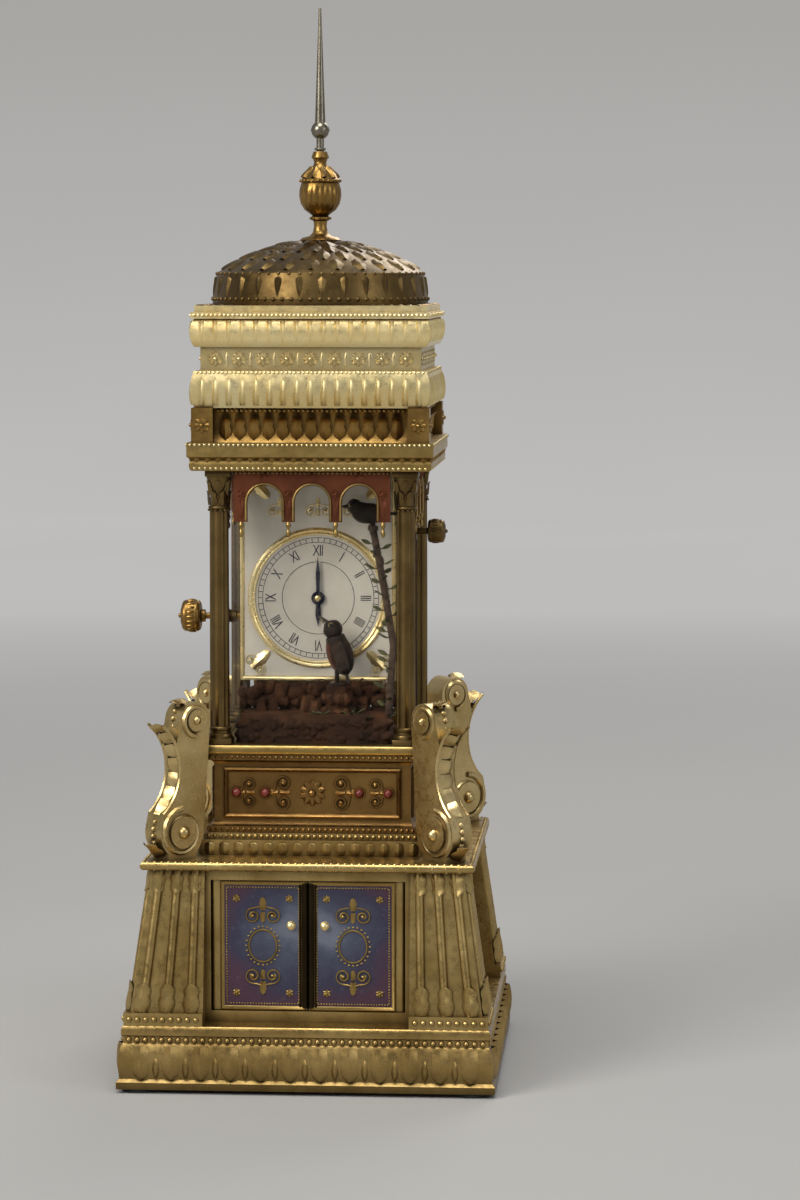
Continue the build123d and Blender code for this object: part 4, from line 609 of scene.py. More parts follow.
def makePlinth(v):
    bm, inner = bmesh.new(), v["inner"]
    squareMoulding(bm, [
        (inner, v["low"]), (v["foot"], v["low"]), (v["foot"], 5.2), (v["foot"] - 0.8, 6.0), (85.8, 6.6),
        (86.2, 10.0), (v["swell"], 14.0), (86.2, 18.0), (85.2, 21.4), (84.6, 22.6), (84.2, 23.0),
        (84.2, 26.2), (v["top"], 26.8), (v["top"], 29.6), (84.6, 30.4), (84.0, v["high"]),
        (inner, v["high"]), (inner, v["low"]),
    ])
    box(bm, (-inner, -inner, v["board"]), (inner, inner, v["high"]))
    reach = v["swell"] - 4.0
    pitch = 2 * reach / v["leaves"]
    (face, top), (betweenFace, betweenTop) = v["leafRows"]

    def side(turn):
        front = outAndUp(turn, 1, 0)
        leafRow(bm, *sideLine(turn, face, reach, top), v["leaves"], outAndUp(turn, 0.12, -1), front,
                15.4, pitch * 0.94, lobes=2, curl=0.0, cup=0.3, rib=0.1)
        leafRow(bm, *sideLine(turn, betweenFace, reach - pitch / 2, betweenTop), v["leaves"] - 1,
                outAndUp(turn, 0.1, -1), front, 10.0, 4.6, lobes=1, curl=0.0, cup=0.8, rib=0.0, cells=(4, 6))
        beadRows(bm, turn, v["beads"])

    fourSides(side)
    # The plinth's finish paints shade towards its foot
    makePiece("carved_plinth", bm, metals["plinthGiltPaintedShade"], "case", ["plinth"], angle=40)


makePlinth(plinthValues)

# Leaves and beads on the corner piers of the lower body
pierValues = {"inner": 47.5, "footWidth": 34.5, "headWidth": 24.5, "reeds": 3, "low": 37.0, "rise": 71.0}


def makePierTrim(v):
    bm = bmesh.new()

    def side(turn):
        for hand in (-1, 1):
            for reed in range(v["reeds"]):
                share = (reed + 0.5) / v["reeds"]
                foot = v["inner"] + share * v["footWidth"]
                head = v["inner"] + share * v["headWidth"]
                low = turn @ Vector((hand * foot, -82.0, v["low"]))
                lean = turn.to_3x3() @ Vector((hand * (head - foot), 10.0, v["rise"]))
                out = outAndUp(turn, 1, 0.14)
                leaf(bm, axes(low, lean, out), 15.0, 8.6, lobes=2, curl=0.5, cup=0.42)
                top = turn @ Vector((hand * (head + 0.3), -72.4, 101.6))
                leaf(bm, axes(top, -lean, out), 12.0, 7.4, lobes=2, curl=0.6, cup=0.42)
            ends = [turn @ Vector((hand * x, -84.1, 34.0)) for x in (48.5, 83.2)]
            beadRow(bm, *ends, 9, 1.3)

    fourSides(side)
    makePiece("pier_leaves", bm, agedGilt, "case")


makePierTrim(pierValues)


# Blue enamel with a pale cloud in the middle of each panel and violet towards its edges
def makeEnamel(name, centre, halfWidth, halfHeight, side=False):
    material, tree, shader, where = newMaterial(name)
    place = parts(tree, where)
    across = sums(tree, "DIVIDE", sums(tree, "SUBTRACT", place[1 if side else 0], centre[0]), halfWidth)
    up = sums(tree, "DIVIDE", sums(tree, "SUBTRACT", place[2], centre[1]), halfHeight)
    squares = sums(tree, "ADD", sums(tree, "MULTIPLY", across, across), sums(tree, "MULTIPLY", up, up))
    reach = sums(tree, "SQRT", squares)
    cloud = noise(tree, where, 55.0, 5.0, 0.65)
    mixed = sums(tree, "ADD", reach, sums(tree, "MULTIPLY", sums(tree, "SUBTRACT", cloud, 0.5), 0.9))
    colour = ramp(tree, mixed, [(0.05, (0.13, 0.145, 0.19)), (0.35, (0.052, 0.06, 0.098)),
                                (0.7, (0.027, 0.025, 0.055)), (1.0, (0.055, 0.020, 0.040))])
    speck = spread(tree, noise(tree, where, 420.0, 3.0, 0.7), 0.0, 0.35, 0.58, 0.75)
    colour = blendColour(tree, speck, colour, (0.13, 0.13, 0.17))
    paint(tree, shader, colour)
    put(shader, Roughness=0.2, Specular_IOR_Level=0.35, Coat_Weight=0.35, Coat_Roughness=0.08)
    bump(tree, shader, noise(tree, where, 140.0, 3.0), 0.00006, 0.6)
    return material


# Panels of the cupboard doors and of the sides: enamel, a gilt frame and gilt scrollwork
panelValues = {"doorX": 20.9, "halfWidth": 18.6, "midZ": 66.5, "halfHeight": 29.0, "doorFront": -69.0,
               "knobX": 7.8, "knobZ": 76.0, "sideFace": 67.5, "sideHalf": 43.0, "sideHeight": 28.6}


def panelOrnament(bm, matrix, halfWidth, halfHeight):
    # A wreathed oval in the middle, scrolls above and below, and a flower in each corner
    oval = [(halfWidth * 0.44 * cos(tau * i / 32), halfHeight * 0.3 * sin(tau * i / 32)) for i in range(33)]
    tube(bm, [matrix @ Vector((x, y, 0.3)) for x, y in oval], 0.45, 6, caps=False)
    for index in range(24):
        angle = tau * index / 24
        x, y = halfWidth * 0.53 * cos(angle), halfHeight * 0.36 * sin(angle)
        ball(bm, matrix @ Vector((x, y, 0.2)), 0.55, 6, 4)
    for turn in (0, pi):
        spin = matrix @ turnZ(turn)
        scrollPair(bm, spin @ shift((0, halfHeight * 0.56, 0.2)), min(halfWidth * 0.6, 11), 0.55)
    for a in (-1, 1):
        for b in (-1, 1):
            rosette(bm, matrix @ shift((a * halfWidth * 0.84, b * halfHeight * 0.88, 0.1)), 2.0, 6)


def enamelPlate(name, matrix, halfWidth, halfHeight, crown, enamel, body):
    # A plate that swells a little towards its middle
    bm = bmesh.new()
    for vert in bmesh.ops.create_grid(bm, x_segments=16, y_segments=16, size=1)["verts"]:
        u, w = vert.co.x, vert.co.y
        rise = crown * (1 - u ** 4) * (1 - w ** 4)
        vert.co = matrix @ Vector((u * halfWidth, w * halfHeight, rise))
    makePiece(name, bm, enamel, body)


def makeDoorPanels(v):
    for side, body in ((-1, "left_door"), (1, "right_door")):
        matrix = facing((side * v["doorX"], v["doorFront"], v["midZ"]))
        enamel = makeEnamel(f"{body}Enamel", (side * 0.008, v["midZ"] * mm + 0.006), 0.036, 0.032)
        enamelPlate(f"{body}_enamel", matrix @ shift((0, 0, 0.06)), v["halfWidth"], v["halfHeight"], 0.5,
                    enamel, body)
        bm = bmesh.new()
        outer = (v["halfWidth"] + 1.1, v["halfHeight"] + 1.1)
        frameMoulding(bm, matrix, *outer, [(0.0, -0.2), (0.05, 0.7), (0.6, 1.1), (1.3, 0.8), (1.9, 0.3)])
        beadFrame(bm, matrix, outer[0] - 3.0, outer[1] - 3.0, 0.3, (42, 26), 0.42)
        makePiece(f"{body}_frame", bm, oldGilt, body)
        bm = bmesh.new()
        panelOrnament(bm, matrix @ shift((0, 0, 0.5)), v["halfWidth"] - 4, v["halfHeight"] - 4)
        makePiece(f"{body}_ornament", bm, oldGilt, body)
        # Near-black beads each side of the meeting line, as painted shadow of the gap between the doors
        bm = bmesh.new()
        for x, radius in ((1.5, 1.4), (3.6, 0.7)):
            tube(bm, [(side * x, v["doorFront"] - 0.1, v["midZ"] + end * v["halfHeight"]) for end in (-1, 1)],
                 radius, 12)
        makePiece(f"{body}_meeting_bead", bm, metals["gapShadeBronze"], body)
        bm = bmesh.new()
        knob = facing((side * v["knobX"], -68.2, v["knobZ"]))
        turned = [(0.01, 4.2), (0.9, 4.1), (1.6, 3.5), (1.7, 3.0), (1.2, 2.4), (0.8, 1.9), (2.0, 1.5),
                  (2.4, 0.8)]
        spinProfile(bm, turned, 20, matrices=[knob])
        makePiece(f"{body}_knob", bm, gilt, body)


def makeSidePanels(v):
    for side, which in ((-1, "left"), (1, "right")):
        matrix = axes((side * (v["sideFace"] + 0.05), 0, v["midZ"]), (0, 0, 1), (side, 0, 0))
        enamel = makeEnamel(f"sideEnamel{side + 1}", (0.0, v["midZ"] * mm), 0.046, 0.032, side=True)
        enamelPlate(f"side_enamel_{which}", matrix, v["sideHalf"], v["sideHeight"], 0.8, enamel, "case")
        bm = bmesh.new()
        steps = [(0.0, 0.0), (0.1, 1.6), (1.0, 2.2), (2.0, 1.5), (2.6, 1.7), (3.6, 1.0), (4.4, 0.1)]
        frameMoulding(bm, matrix, v["sideHalf"] + 2.0, v["sideHeight"] + 2.0, steps)
        beadFrame(bm, matrix, v["sideHalf"] - 2.8, v["sideHeight"] - 3.0, 0.9, (32, 50), 0.7,
                  v["sideHeight"] - 2.8)
        makePiece(f"side_frame_{which}", bm, gilt, "case")
        bm = bmesh.new()
        inner = matrix @ shift((0, 0, 0.75))
        panelOrnament(bm, inner, 30, 22)
        for hand in (-1, 1):
            turn = turnZ(-hand * pi / 2)
            scrollPair(bm, inner @ shift((hand * 25, 0, -0.2)) @ turn, 10, 0.55)
        makePiece(f"side_ornament_{which}", bm, oldGilt, "case")


makeDoorPanels(panelValues)
makeSidePanels(panelValues)
print("lower body dressed")

# Beads and leaves on the ledge and on the step over it
ledgeValues = {"beads": [(75.4, 75.0, 105.4, 46, 1.05), (50.0, 49.6, 114.6, 36, 1.0)],
               "edgeLeaves": (75.6, 73.0, 102.2), "stepLeaves": (52.1, 51.0, 106.2)}


def makeLedgeTrim(v):
    bm = bmesh.new()

    def side(turn):
        out, up = outAndUp(turn, 1, 0), outAndUp(turn, 0, 1)
        beadRows(bm, turn, v["beads"])
        leafRow(bm, *sideLine(turn, *v["edgeLeaves"]), 24, outAndUp(turn, 0.3, 1), out, 3.2, 5.0, lobes=1,
                curl=0.1, cup=0.35, cells=(4, 4))
        leafRow(bm, *sideLine(turn, *v["stepLeaves"]), 15, up, out, 6.4, 6.4, lobes=2, curl=0.5, cup=0.3)

    fourSides(side)
    makePiece("ledge_beading", bm, agedGilt, "case")


makeLedgeTrim(ledgeValues)

# Stage walls: a raised panel on each, with scrolls, red spots in rings and a flower in the middle
stageWallValues = {
    "face": 46.0, "middle": 134.5, "panel": (41.5, 11.8), "scrolls": [(13.5, 8.6, 0.7), (29.5, 7.4, 0.6)],
    "spots": (-35.5, -22.0, 22.0, 35.5), "spot": 2.1, "ring": 2.5,
    "beads": [(48.8, 48.4, 117.6, 38, 0.9), (48.8, 48.4, 151.4, 38, 0.9), (49.8, 49.6, 155.2, 30, 1.1)],
}


def makeStageTrim(v):
    bm, spots = bmesh.new(), bmesh.new()

    def side(turn):
        panel = turn @ facing((0, -v["face"], v["middle"]))
        frameMoulding(bm, panel, *v["panel"], [(0.0, 0.0), (0.1, 1.2), (0.9, 1.7), (1.7, 1.0), (2.2, 0.05)])
        for hand in (-1, 1):
            turned = turnZ(-hand * pi / 2)
            for x, size, radius in v["scrolls"]:
                scrollPair(bm, panel @ shift((hand * x, 0, 0.1)) @ turned, size, radius)
        rosette(bm, panel @ shift((0, 0, 0.1)), 6.6, 10)
        for x in v["spots"]:
            ball(spots, panel @ Vector((x, 0, 0.5)), v["spot"], 12, 8)
            ring = [(x + v["ring"] * cos(tau * i / 16), v["ring"] * sin(tau * i / 16)) for i in range(17)]
            tube(bm, [panel @ Vector((a, b, 0.4)) for a, b in ring], 0.45, 6, caps=False)
        beadRows(bm, turn, v["beads"])

    fourSides(side)
    makePiece("stage_ornament", bm, metals["stageBrown"], "case")
    makePiece("stage_cabochons", spots, mattes["redLacquer"], "case")


makeStageTrim(stageWallValues)

# Corner consoles: raised spirals on both cheeks, a leaf down the hollow front, and beads on the edge
scrollValues = {"big": (88.51, 118.5, 12.5), "small": (80.51, 170.0, 8.5), "half": 6.0,
                "hollow": (115.3, 148.0), "leafReach": 25.7, "edgeReach": 26.2}


def makeScrollTrim(v):
    bm = bmesh.new()
    hx, hz = v["hollow"]
    for corner in range(4):
        turn = turnZ(pi / 4 + pi / 2 * corner)
        for out, z, radius in (v["big"], v["small"]):
            for cheek in (-1, 1):
                hand = 1 if radius > 10 else -1
                line = spiral((out, z), radius - 1.2, 2.1, hand=-hand, start=pi * (0.5 if hand > 0 else 1.5))
                thick = [0.45 + 1.0 * (1 - i / len(line)) for i in range(len(line))]
                tube(bm, [turn @ Vector((x, cheek * v["half"], h)) for x, h in line], thick, 6)
                ball(bm, turn @ Vector((out, cheek * (v["half"] + 0.9), z)), radius * 0.24, 12, 8)
            beads = 9 if radius > 10 else 6
            for index in range(beads):
                angle = -1.15 + 2.1 * index / (beads - 1)
                ball(bm, turn @ Vector((out + radius * cos(angle), 0, z + radius * sin(angle))), 1.5, 10, 6)
        for index in range(7):
            angle = radians(122 + 15.5 * index)
            place = Vector((hx + v["leafReach"] * cos(angle), 0, hz + v["leafReach"] * sin(angle)))
            out = Vector((-cos(angle), 0, -sin(angle)))
            along = Vector((sin(angle), 0, -cos(angle)))
            leaf(bm, turn @ axes(place, -along, out), 9.5, 11.5, lobes=2, curl=0.7, cup=0.28)
        for cheek in (-1, 1):
            edge = []
            for index in range(15):
                angle = radians(128 + 7.4 * index)
                x, z = hx + v["edgeReach"] * cos(angle), hz + v["edgeReach"] * sin(angle)
                edge.append(turn @ Vector((x, cheek * 5.4, z)))
            tube(bm, edge, 0.8, 6)
        leaf(bm, turn @ axes((97.0, 0, 108.0), (0.75, 0, 0.7), (0.7, 0, -0.7)), 12, 11, lobes=2, curl=0.6)
        leaf(bm, turn @ axes((82.0, 0, 177.6), (1, 0, 0.1), (0, 0, 1)), 9, 9, lobes=2, curl=0.2)
    makePiece("scroll_carving", bm, metals["scrollGilt"], "case")


makeScrollTrim(scrollValues)
print("stage and scrolls dressed")

# Lantern columns: fluted shafts between moulded bases and leaf capitals
columnValues = {"centre": 43.5, "low": 157.0, "high": 285.0, "radius": 4.6, "flutes": 12,
                "blockHalf": 6.0, "block": 3.0}


def makeColumns(v):
    places = [shift((a * v["centre"], b * v["centre"], 0)) for a in (-1, 1) for b in (-1, 1)]
    bm = bmesh.new()
    half, block = v["blockHalf"], v["block"]
    for low in (v["low"], v["high"] - block):
        box(bm, (-half, -half, low), (half, half, low + block), 0.4, places)
    low, high, r = v["low"] + block, v["high"] - block, v["radius"]
    base = [(0.01, low), (5.9, low), (6.0, low + 1.0), (5.7, low + 1.9), (5.0, low + 2.3), (4.9, low + 3.4),
            (5.4, low + 4.0), (5.4, low + 4.8), (4.7, low + 5.4), (0.01, low + 5.4)]
    spinProfile(bm, base, 24, matrices=places)
    head = [(0.01, high - 15.0), (4.8, high - 15.0), (5.1, high - 14.4), (4.8, high - 13.8),
            (4.2, high - 13.6), (4.1, high - 10.0), (4.5, high - 5.0), (5.9, high - 0.6), (5.9, high),
            (0.01, high)]
    spinProfile(bm, head, 24, matrices=places)
    shaft = [(r, low + 5.2 + step * (high - low - 20.0) / 8) for step in range(9)]

    def flute(point):
        turn = atan2(point.y, point.x)
        share = (point.z - low) / (high - low)
        scale = (1 - 0.09 * abs(sin(turn * v["flutes"] / 2)) ** 0.6) * (1 - 0.06 * share * share)
        return Vector((point.x * scale, point.y * scale, point.z))

    spinProfile(bm, shaft, v["flutes"] * 6, matrices=places, shape=flute)
    capital = []
    for tier, (z, lean) in enumerate(((high - 13.4, 0.12), (high - 8.4, 0.2))):
        for index in range(6):
            turn = tau * (index + 0.5 * tier) / 6
            out = Vector((cos(turn), sin(turn), -lean))
            foot = Vector((4.1 * cos(turn), 4.1 * sin(turn), z))
            capital.append(axes(foot, Vector((lean * out.x, lean * out.y, 1)), out))
    leaves(bm, [place @ one for place in places for one in capital], 7.6, 4.4, lobes=2, curl=0.4, cup=0.3)
    necking = ringOf(14, 4.9, high - 15.6)
    balls(bm, [place @ one for place in places for one in necking], 0.55, 6, 4)
    makePiece("fluted_columns", bm, bronze, "case", ["lantern_columns"])


makeColumns(columnValues)

# Valances: a raised rim and beads along the arches, drops between them, and a flower over each arch
valanceValues = {"face": 46.35, "half": 36.5, "low": 261.0, "high": 285.0, "centre": 270.0, "radius": 8.0,
                 "pitch": 22.0, "posts": (-33.0, -11.0, 11.0, 33.0)}


def makeValanceTrim(v):
    bm, gold, radius = bmesh.new(), bmesh.new(), v["radius"] + 0.7
    drop = [(0.01, -7.2), (0.7, -6.8), (1.15, -5.6), (0.9, -4.4), (0.5, -3.4), (0.9, -2.6), (1.3, -1.4),
            (0.9, -0.3), (0.6, 0.6), (0.01, 0.6)]

    def side(turn):
        face, drops = turn @ facing((0, -v["face"], 0)), []
        for arch in (-1, 0, 1):
            centre = arch * v["pitch"]
            arc = [pi * (1 - step / 14) for step in range(15)]
            rim = [(centre - radius, v["low"] + 0.6)]
            rim += [(centre + radius * cos(angle), v["centre"] + radius * sin(angle)) for angle in arc]
            rim.append((centre + radius, v["low"] + 0.6))
            tube(gold, [face @ Vector((x, z, 0.2)) for x, z in rim], 0.5, 6)
            leaf(bm, face @ axes((centre, v["centre"] + 9.0, 0.0), (0, 1, 0), (0, 0, 1)), 5.2, 5.6, curl=0.5)
        for post in v["posts"]:
            rosette(bm, face @ shift((post, v["low"] + 13.0, 0.1)), 2.3, 6)
            leaf(bm, face @ axes((post, v["low"] + 10.0, 0.0), (0, -1, 0), (0, 0, 1)), 8.6, 4.2, lobes=2,
                 curl=0.1)
            drops.append(face @ axes((post, v["low"], -0.75), (1, 0, 0), (0, 1, 0)))
        spinProfile(gold, drop, 12, matrices=drops)
        top = between((-v["half"], v["high"] - 1.2, 0.1), (v["half"], v["high"] - 1.2, 0.1), 34)
        balls(gold, [face @ one for one in top], 0.75, 6, 4)

    fourSides(side, (0, 1, 3))
    makePiece("valance_carving", bm, metals["reddishBronze"], "case")
    makePiece("valance_rims", gold, oldGilt, "case")


makeValanceTrim(valanceValues)

# Entablature: architrave beads, leaves in the cove, gadroons on both bands and flowers between them
entablatureValues = {
    "corner": (50.0, 55.0, 306.0), "middle": 51.0, "flowers": 9, "pitch": 11.0,
    "brightBeads": [(55.2, 54.6, 286.2, 44, 0.95), (57.0, 56.4, 297.0, 50, 0.8),
                    (53.6, 53.2, 330.2, 54, 0.85), (55.0, 54.4, 356.6, 54, 0.85)],
    "darkBeads": [(51.2, 44.0, 312.6, 40, 0.8)],
}


def makeEntablature(v):
    bright, dark = bmesh.new(), bmesh.new()
    cornerX, cornerFace, cornerZ = v["corner"]

    def side(turn):
        out, up = outAndUp(turn, 1, 0), outAndUp(turn, 0, 1)
        beadRows(bright, turn, v["brightBeads"])
        beadRows(dark, turn, v["darkBeads"])
        leafRow(dark, *sideLine(turn, 55.4, 55.0, 296.6), 22, -up, out, 8.4, 4.8, lobes=1, curl=0.1, cup=0.4,
                cells=(4, 5))
        leafRow(dark, *sideLine(turn, 49.3, 43.0, 299.0), 13, outAndUp(turn, 0.12, 1), out, 13.0, 6.0,
                lobes=2, curl=0.9, cup=0.3)
        for hand in (-1, 1):
            rosette(dark, turn @ facing((hand * cornerX, -cornerFace, cornerZ)), 4.0, 8)
        leafRow(bright, *sideLine(turn, 53.5, 53.2, 315.2), 17, up, out, 14.2, 6.2, lobes=2, curl=0.15,
                cup=0.85, rib=0.1)
        for index in range(v["flowers"]):
            x = v["pitch"] * (index - (v["flowers"] - 1) / 2)
            rosette(bright, turn @ facing((x, -v["middle"], 336.5)), 3.7, 8)
            if index < v["flowers"] - 1:
                leaf(bright, turn @ facing((x + v["pitch"] / 2, -v["middle"], 333.2)), 6.6, 2.6, lobes=1,
                     curl=0.1, cells=(3, 5))
        leafRow(bright, *sideLine(turn, 53.4, 53.2, 354.0), 17, -up, out, 11.0, 6.2, lobes=2, curl=0.15,
                cup=0.8, rib=0.1)
        leafRow(bright, *sideLine(turn, 53.0, 50.0, 354.2), 16, -up, out, 7.0, 3.0, lobes=1, curl=0.0,
                cup=0.5, cells=(3, 5))
        leafRow(dark, *sideLine(turn, 53.0, 52.0, 361.0), 24, outAndUp(turn, -1, 0.04), up, 5.0, 4.0,
                lobes=1, curl=0.0, cup=0.3, cells=(3, 4))

    fourSides(side)
    makePiece("entablature_bright", bright, metals["corniceGiltPaintedLight"], "case")
    # The dark ornaments take browned gilt, partly painted shade for the recessed frieze and the steps under
    # the mouldings
    makePiece("entablature_dark", dark, metals["brownGiltAndFriezeShade"], "case")


makeEntablature(entablatureValues)

# Dome: a beaded lip, leaves round the drum, and scale-like leaves up the cap
domeValues = {"lip": 51.0, "drum": 49.0, "drumTop": 376.0, "capTop": 391.0, "tiers": 5,
              "firstReach": 46.5, "tierPitch": 8.4}


def makeDomeTrim(v):
    bm = bmesh.new()
    balls(bm, ringOf(72, v["lip"] - 0.3, 363.9), 1.1, 8, 5)

    def around(count, radius, z, rise, phase=0.0):
        made = []
        for point in ringOf(count, radius, z, phase):
            out = Vector((point.x, point.y, 0)).normalized()
            tilt = radians(rise)
            along = out * -cos(tilt) + Vector((0, 0, sin(tilt)))
            made.append(axes(point, along, out * sin(tilt) + Vector((0, 0, cos(tilt)))))
        return made

    leaves(bm, around(30, v["drum"], 364.4, 89), 10.6, 8.4, lobes=2, curl=0.35, cup=0.35)
    balls(bm, ringOf(60, v["drum"] - 0.2, v["drumTop"] - 0.3), 0.9, 8, 5)
    rise = v["capTop"] - v["drumTop"]
    capRadius = ((v["drum"] - 1) ** 2 + rise ** 2) / (2 * rise)
    for tier in range(v["tiers"]):
        reach = v["firstReach"] - tier * v["tierPitch"]
        z = v["capTop"] - capRadius + sqrt(capRadius ** 2 - reach ** 2)
        slope = degrees(asin(reach / capRadius))
        count = 24 if tier < 3 else 12
        wide = tau * reach / count * 0.95
        leaves(bm, around(count, reach, z + 0.05, slope, pi / count * (tier % 2)), 9.6, wide, lobes=2,
               curl=0.12, cup=0.16, rib=0.07)
    makePiece("dome_leaves", bm, bronze, "case")


makeDomeTrim(domeValues)

# Urn and spire: a gadrooned bowl under a leafy lid, and collars round the spire's foot
urnValues = {"low": 391.0, "lobes": 16, "bowl": (12.7, 27.0),
             "collars": ((434.2, 2.6), (441.0, 2.5), (447.6, 2.3))}


def makeUrn(v):
    z, (low, high) = v["low"], v["bowl"]
    outline = [(0.01, -0.4), (9.4, -0.4), (9.6, 0.6), (8.6, 1.6), (5.2, 2.4), (3.6, 4.0), (3.0, 7.0),
               (3.3, 9.4), (4.9, 10.2), (4.9, 11.2), (3.6, 11.8), (4.6, 12.6), (7.4, 14.6),
               (9.3, 17.6), (10.0, 21.0), (9.9, 24.0), (9.2, 26.6), (8.9, 27.2), (9.6, 27.8),
               (9.6, 28.8), (8.7, 29.4), (7.4, 31.6), (5.2, 33.8), (3.4, 35.4), (2.9, 37.0),
               (3.4, 38.4), (4.2, 39.2), (3.9, 40.2), (3.2, 42.0), (0.01, 42.0)]
    profile = [(radius, z + rise) for radius, rise in outline]

    def gadroon(point):
        rise = point.z - z
        if not low < rise < high:
            return point
        depth = 0.07 * sin(pi * (rise - low) / (high - low))
        turn = atan2(point.y, point.x)
        scale = 1.0 - depth * (1 - abs(sin(turn * v["lobes"] / 2)) ** 0.7)
        return Vector((point.x * scale, point.y * scale, point.z))

    bm = bmesh.new()
    spinProfile(bm, profile, v["lobes"] * 5, shape=gadroon)
    lidLeaves = []
    for point in ringOf(10, 8.6, z + 29.6):
        out = Vector((point.x, point.y, 0)).normalized()
        lidLeaves.append(axes(point, out * -0.66 + Vector((0, 0, 0.75)), out * 0.75 + Vector((0, 0, 0.66))))
    leaves(bm, lidLeaves, 7.4, 5.0, lobes=2, curl=0.4, cup=0.3)
    balls(bm, ringOf(24, 9.5, z + 28.3), 0.7, 8, 5)
    balls(bm, ringOf(12, 4.8, z + 10.7), 0.6, 6, 4)
    makePiece("gadrooned_urn", bm, metals["brownGiltAndFriezeShade"], "case", ["finial_urn"])
    bm = bmesh.new()
    for height, radius in v["collars"]:
        ringed = [(1.2, -0.9), (radius, -0.5), (radius + 0.2, 0.0), (radius, 0.5), (1.2, 0.9)]
        spinProfile(bm, [(r, height + rise) for r, rise in ringed], 20)
    balls(bm, ringOf(14, 4.25, 443.0), 0.35, 6, 4)
    makePiece("spire_collars", bm, metals["silvered"], "case")


makeUrn(urnValues)
print("roof dressed")

# Knobs on both flanks: ribs round the rims and a flower on the outer faces
knobValues = {
    "start_knob": {"from": -57.5, "to": -66.5, "radius": 7.5, "z": 213.0, "finish": "brownGiltAndFriezeShade"},
    "set_knob": {"from": 51.0, "to": 59.0, "radius": 5.5, "z": 254.0, "finish": "bronze"},
}


def makeKnobTrim(table):
    for name, v in table.items():
        away = -1 if v["to"] < v["from"] else 1
        place = axes((v["from"], 0, v["z"]), (0, 1, 0), (away, 0, 0))
        reach, r = abs(v["to"] - v["from"]), v["radius"]
        bm = bmesh.new()
        for point in ringOf(20, r - 0.15):
            tube(bm, [place @ (point + Vector((0, 0, reach * share))) for share in (0.24, 0.32, 0.6, 0.7)],
                 [0.2, r * 0.09, r * 0.09, 0.2], 8)
        rosette(bm, place @ shift((0, 0, reach - 0.15)), r * 0.7, 8)
        makePiece(f"{name}_ribs", bm, metals[v["finish"]], name)


makeKnobTrim(knobValues)

# Dial: Roman numerals, minute track, gilt bezel and corner leaves
dialValues = {"centre": (0.0, 223.0), "face": -14.5, "numerals": 22.3, "track": 27.5, "bezel": 31.5,
              "middle": 234.0, "half": (37.0, 50.0), "corner": (33.4, 46.5), "scrollX": (-18.0, 0.0, 18.0),
              "scrollZ": 264.0}


def makeDial(v):
    cx, cz = v["centre"]
    dark, gold = bmesh.new(), bmesh.new()
    roman = ["XII", "I", "II", "III", "IIII", "V", "VI", "VII", "VIII", "IX", "X", "XI"]
    for index, word in enumerate(roman):
        curve = bpy.data.curves.new("numeral", "FONT")
        curve.body = word
        curve.size = 7.4
        curve.extrude = 0.06
        curve.align_x = "CENTER"
        curve.align_y = "CENTER"
        curve.space_character = 0.9
        holder = bpy.data.objects.new("numeral", curve)
        bpy.context.scene.collection.objects.link(holder)
        graph = bpy.context.evaluated_depsgraph_get()
        data = bpy.data.meshes.new_from_object(holder.evaluated_get(graph))
        bpy.data.objects.remove(holder)
        narrow = Matrix.Diagonal((0.62, 1.0, 1.0, 1.0))
        place = facing((cx, v["face"] - 0.08, cz)) @ turnZ(-tau * index / 12)
        data.transform(place @ shift((0, v["numerals"], 0)) @ narrow)
        dark.from_mesh(data)
    face = facing((cx, v["face"], cz))
    minute = bmesh.new()
    bmesh.ops.create_cube(minute, size=1.0, matrix=Matrix.Diagonal((0.32, 1.7, 0.12, 1)))
    minutes = [face @ turnZ(tau * index / 60) @ shift((0, v["track"], 0.06)) for index in range(60)]
    stamp(dark, minute, minutes)
    for radius in (v["track"] - 1.1, v["track"] + 1.1, v["numerals"] - 5.2):
        inner, outer = radius - 0.13, radius + 0.13
        spinProfile(dark, [(inner, 0.0), (inner, 0.12), (outer, 0.12), (outer, 0.0)], 96, matrices=[face])
    bezel = v["bezel"]
    ringed = [(bezel - 1.6, 0.0), (bezel - 1.5, 0.6), (bezel - 0.9, 0.9), (bezel - 0.5, 0.7), (bezel, 1.2),
              (bezel + 0.8, 1.5), (bezel + 1.6, 1.0), (bezel + 1.9, 0.0)]
    spinProfile(gold, ringed, 96, matrices=[face])
    balls(gold, [face @ point for point in ringOf(84, bezel - 0.7, 0.8)], 0.45, 6, 4)
    for a in (-1, 1):
        for b in (-1, 1):
            place = (a * v["corner"][0], v["face"], v["middle"] + b * v["corner"][1])
            turn = axes(place, (-a, 0, -b), (0, -1, 0))
            scrollPair(gold, turn @ shift((0, 5.0, 0.1)), 6.4, 0.42)
            leaf(gold, turn @ shift((0, 3.0, 0.05)), 12.0, 7.0, curl=0.15)
    edge = facing((0, v["face"], v["middle"]))
    frameMoulding(gold, edge, *v["half"], [(0.0, -0.2), (0.0, 0.9), (0.8, 1.2), (1.5, 0.8), (1.9, 0.05)])
    for x in v["scrollX"]:
        scrollPair(gold, facing((x, v["face"] - 0.1, v["scrollZ"])), 6.8, 0.45)
    makePiece("dial_numerals", dark, metals["blued"], "case")
    makePiece("dial_bezel", gold, gilt, "case")
    bm = bmesh.new()
    hub = [(0.01, 3.2), (0.7, 3.2), (1.3, 2.9), (1.5, 2.5), (1.5, 2.3)]
    spinProfile(bm, hub, 20, matrices=[face])
    makePiece("minute_hand_hub", bm, gilt, "minute_work")


makeDial(dialValues)
print("knobs and dial dressed")

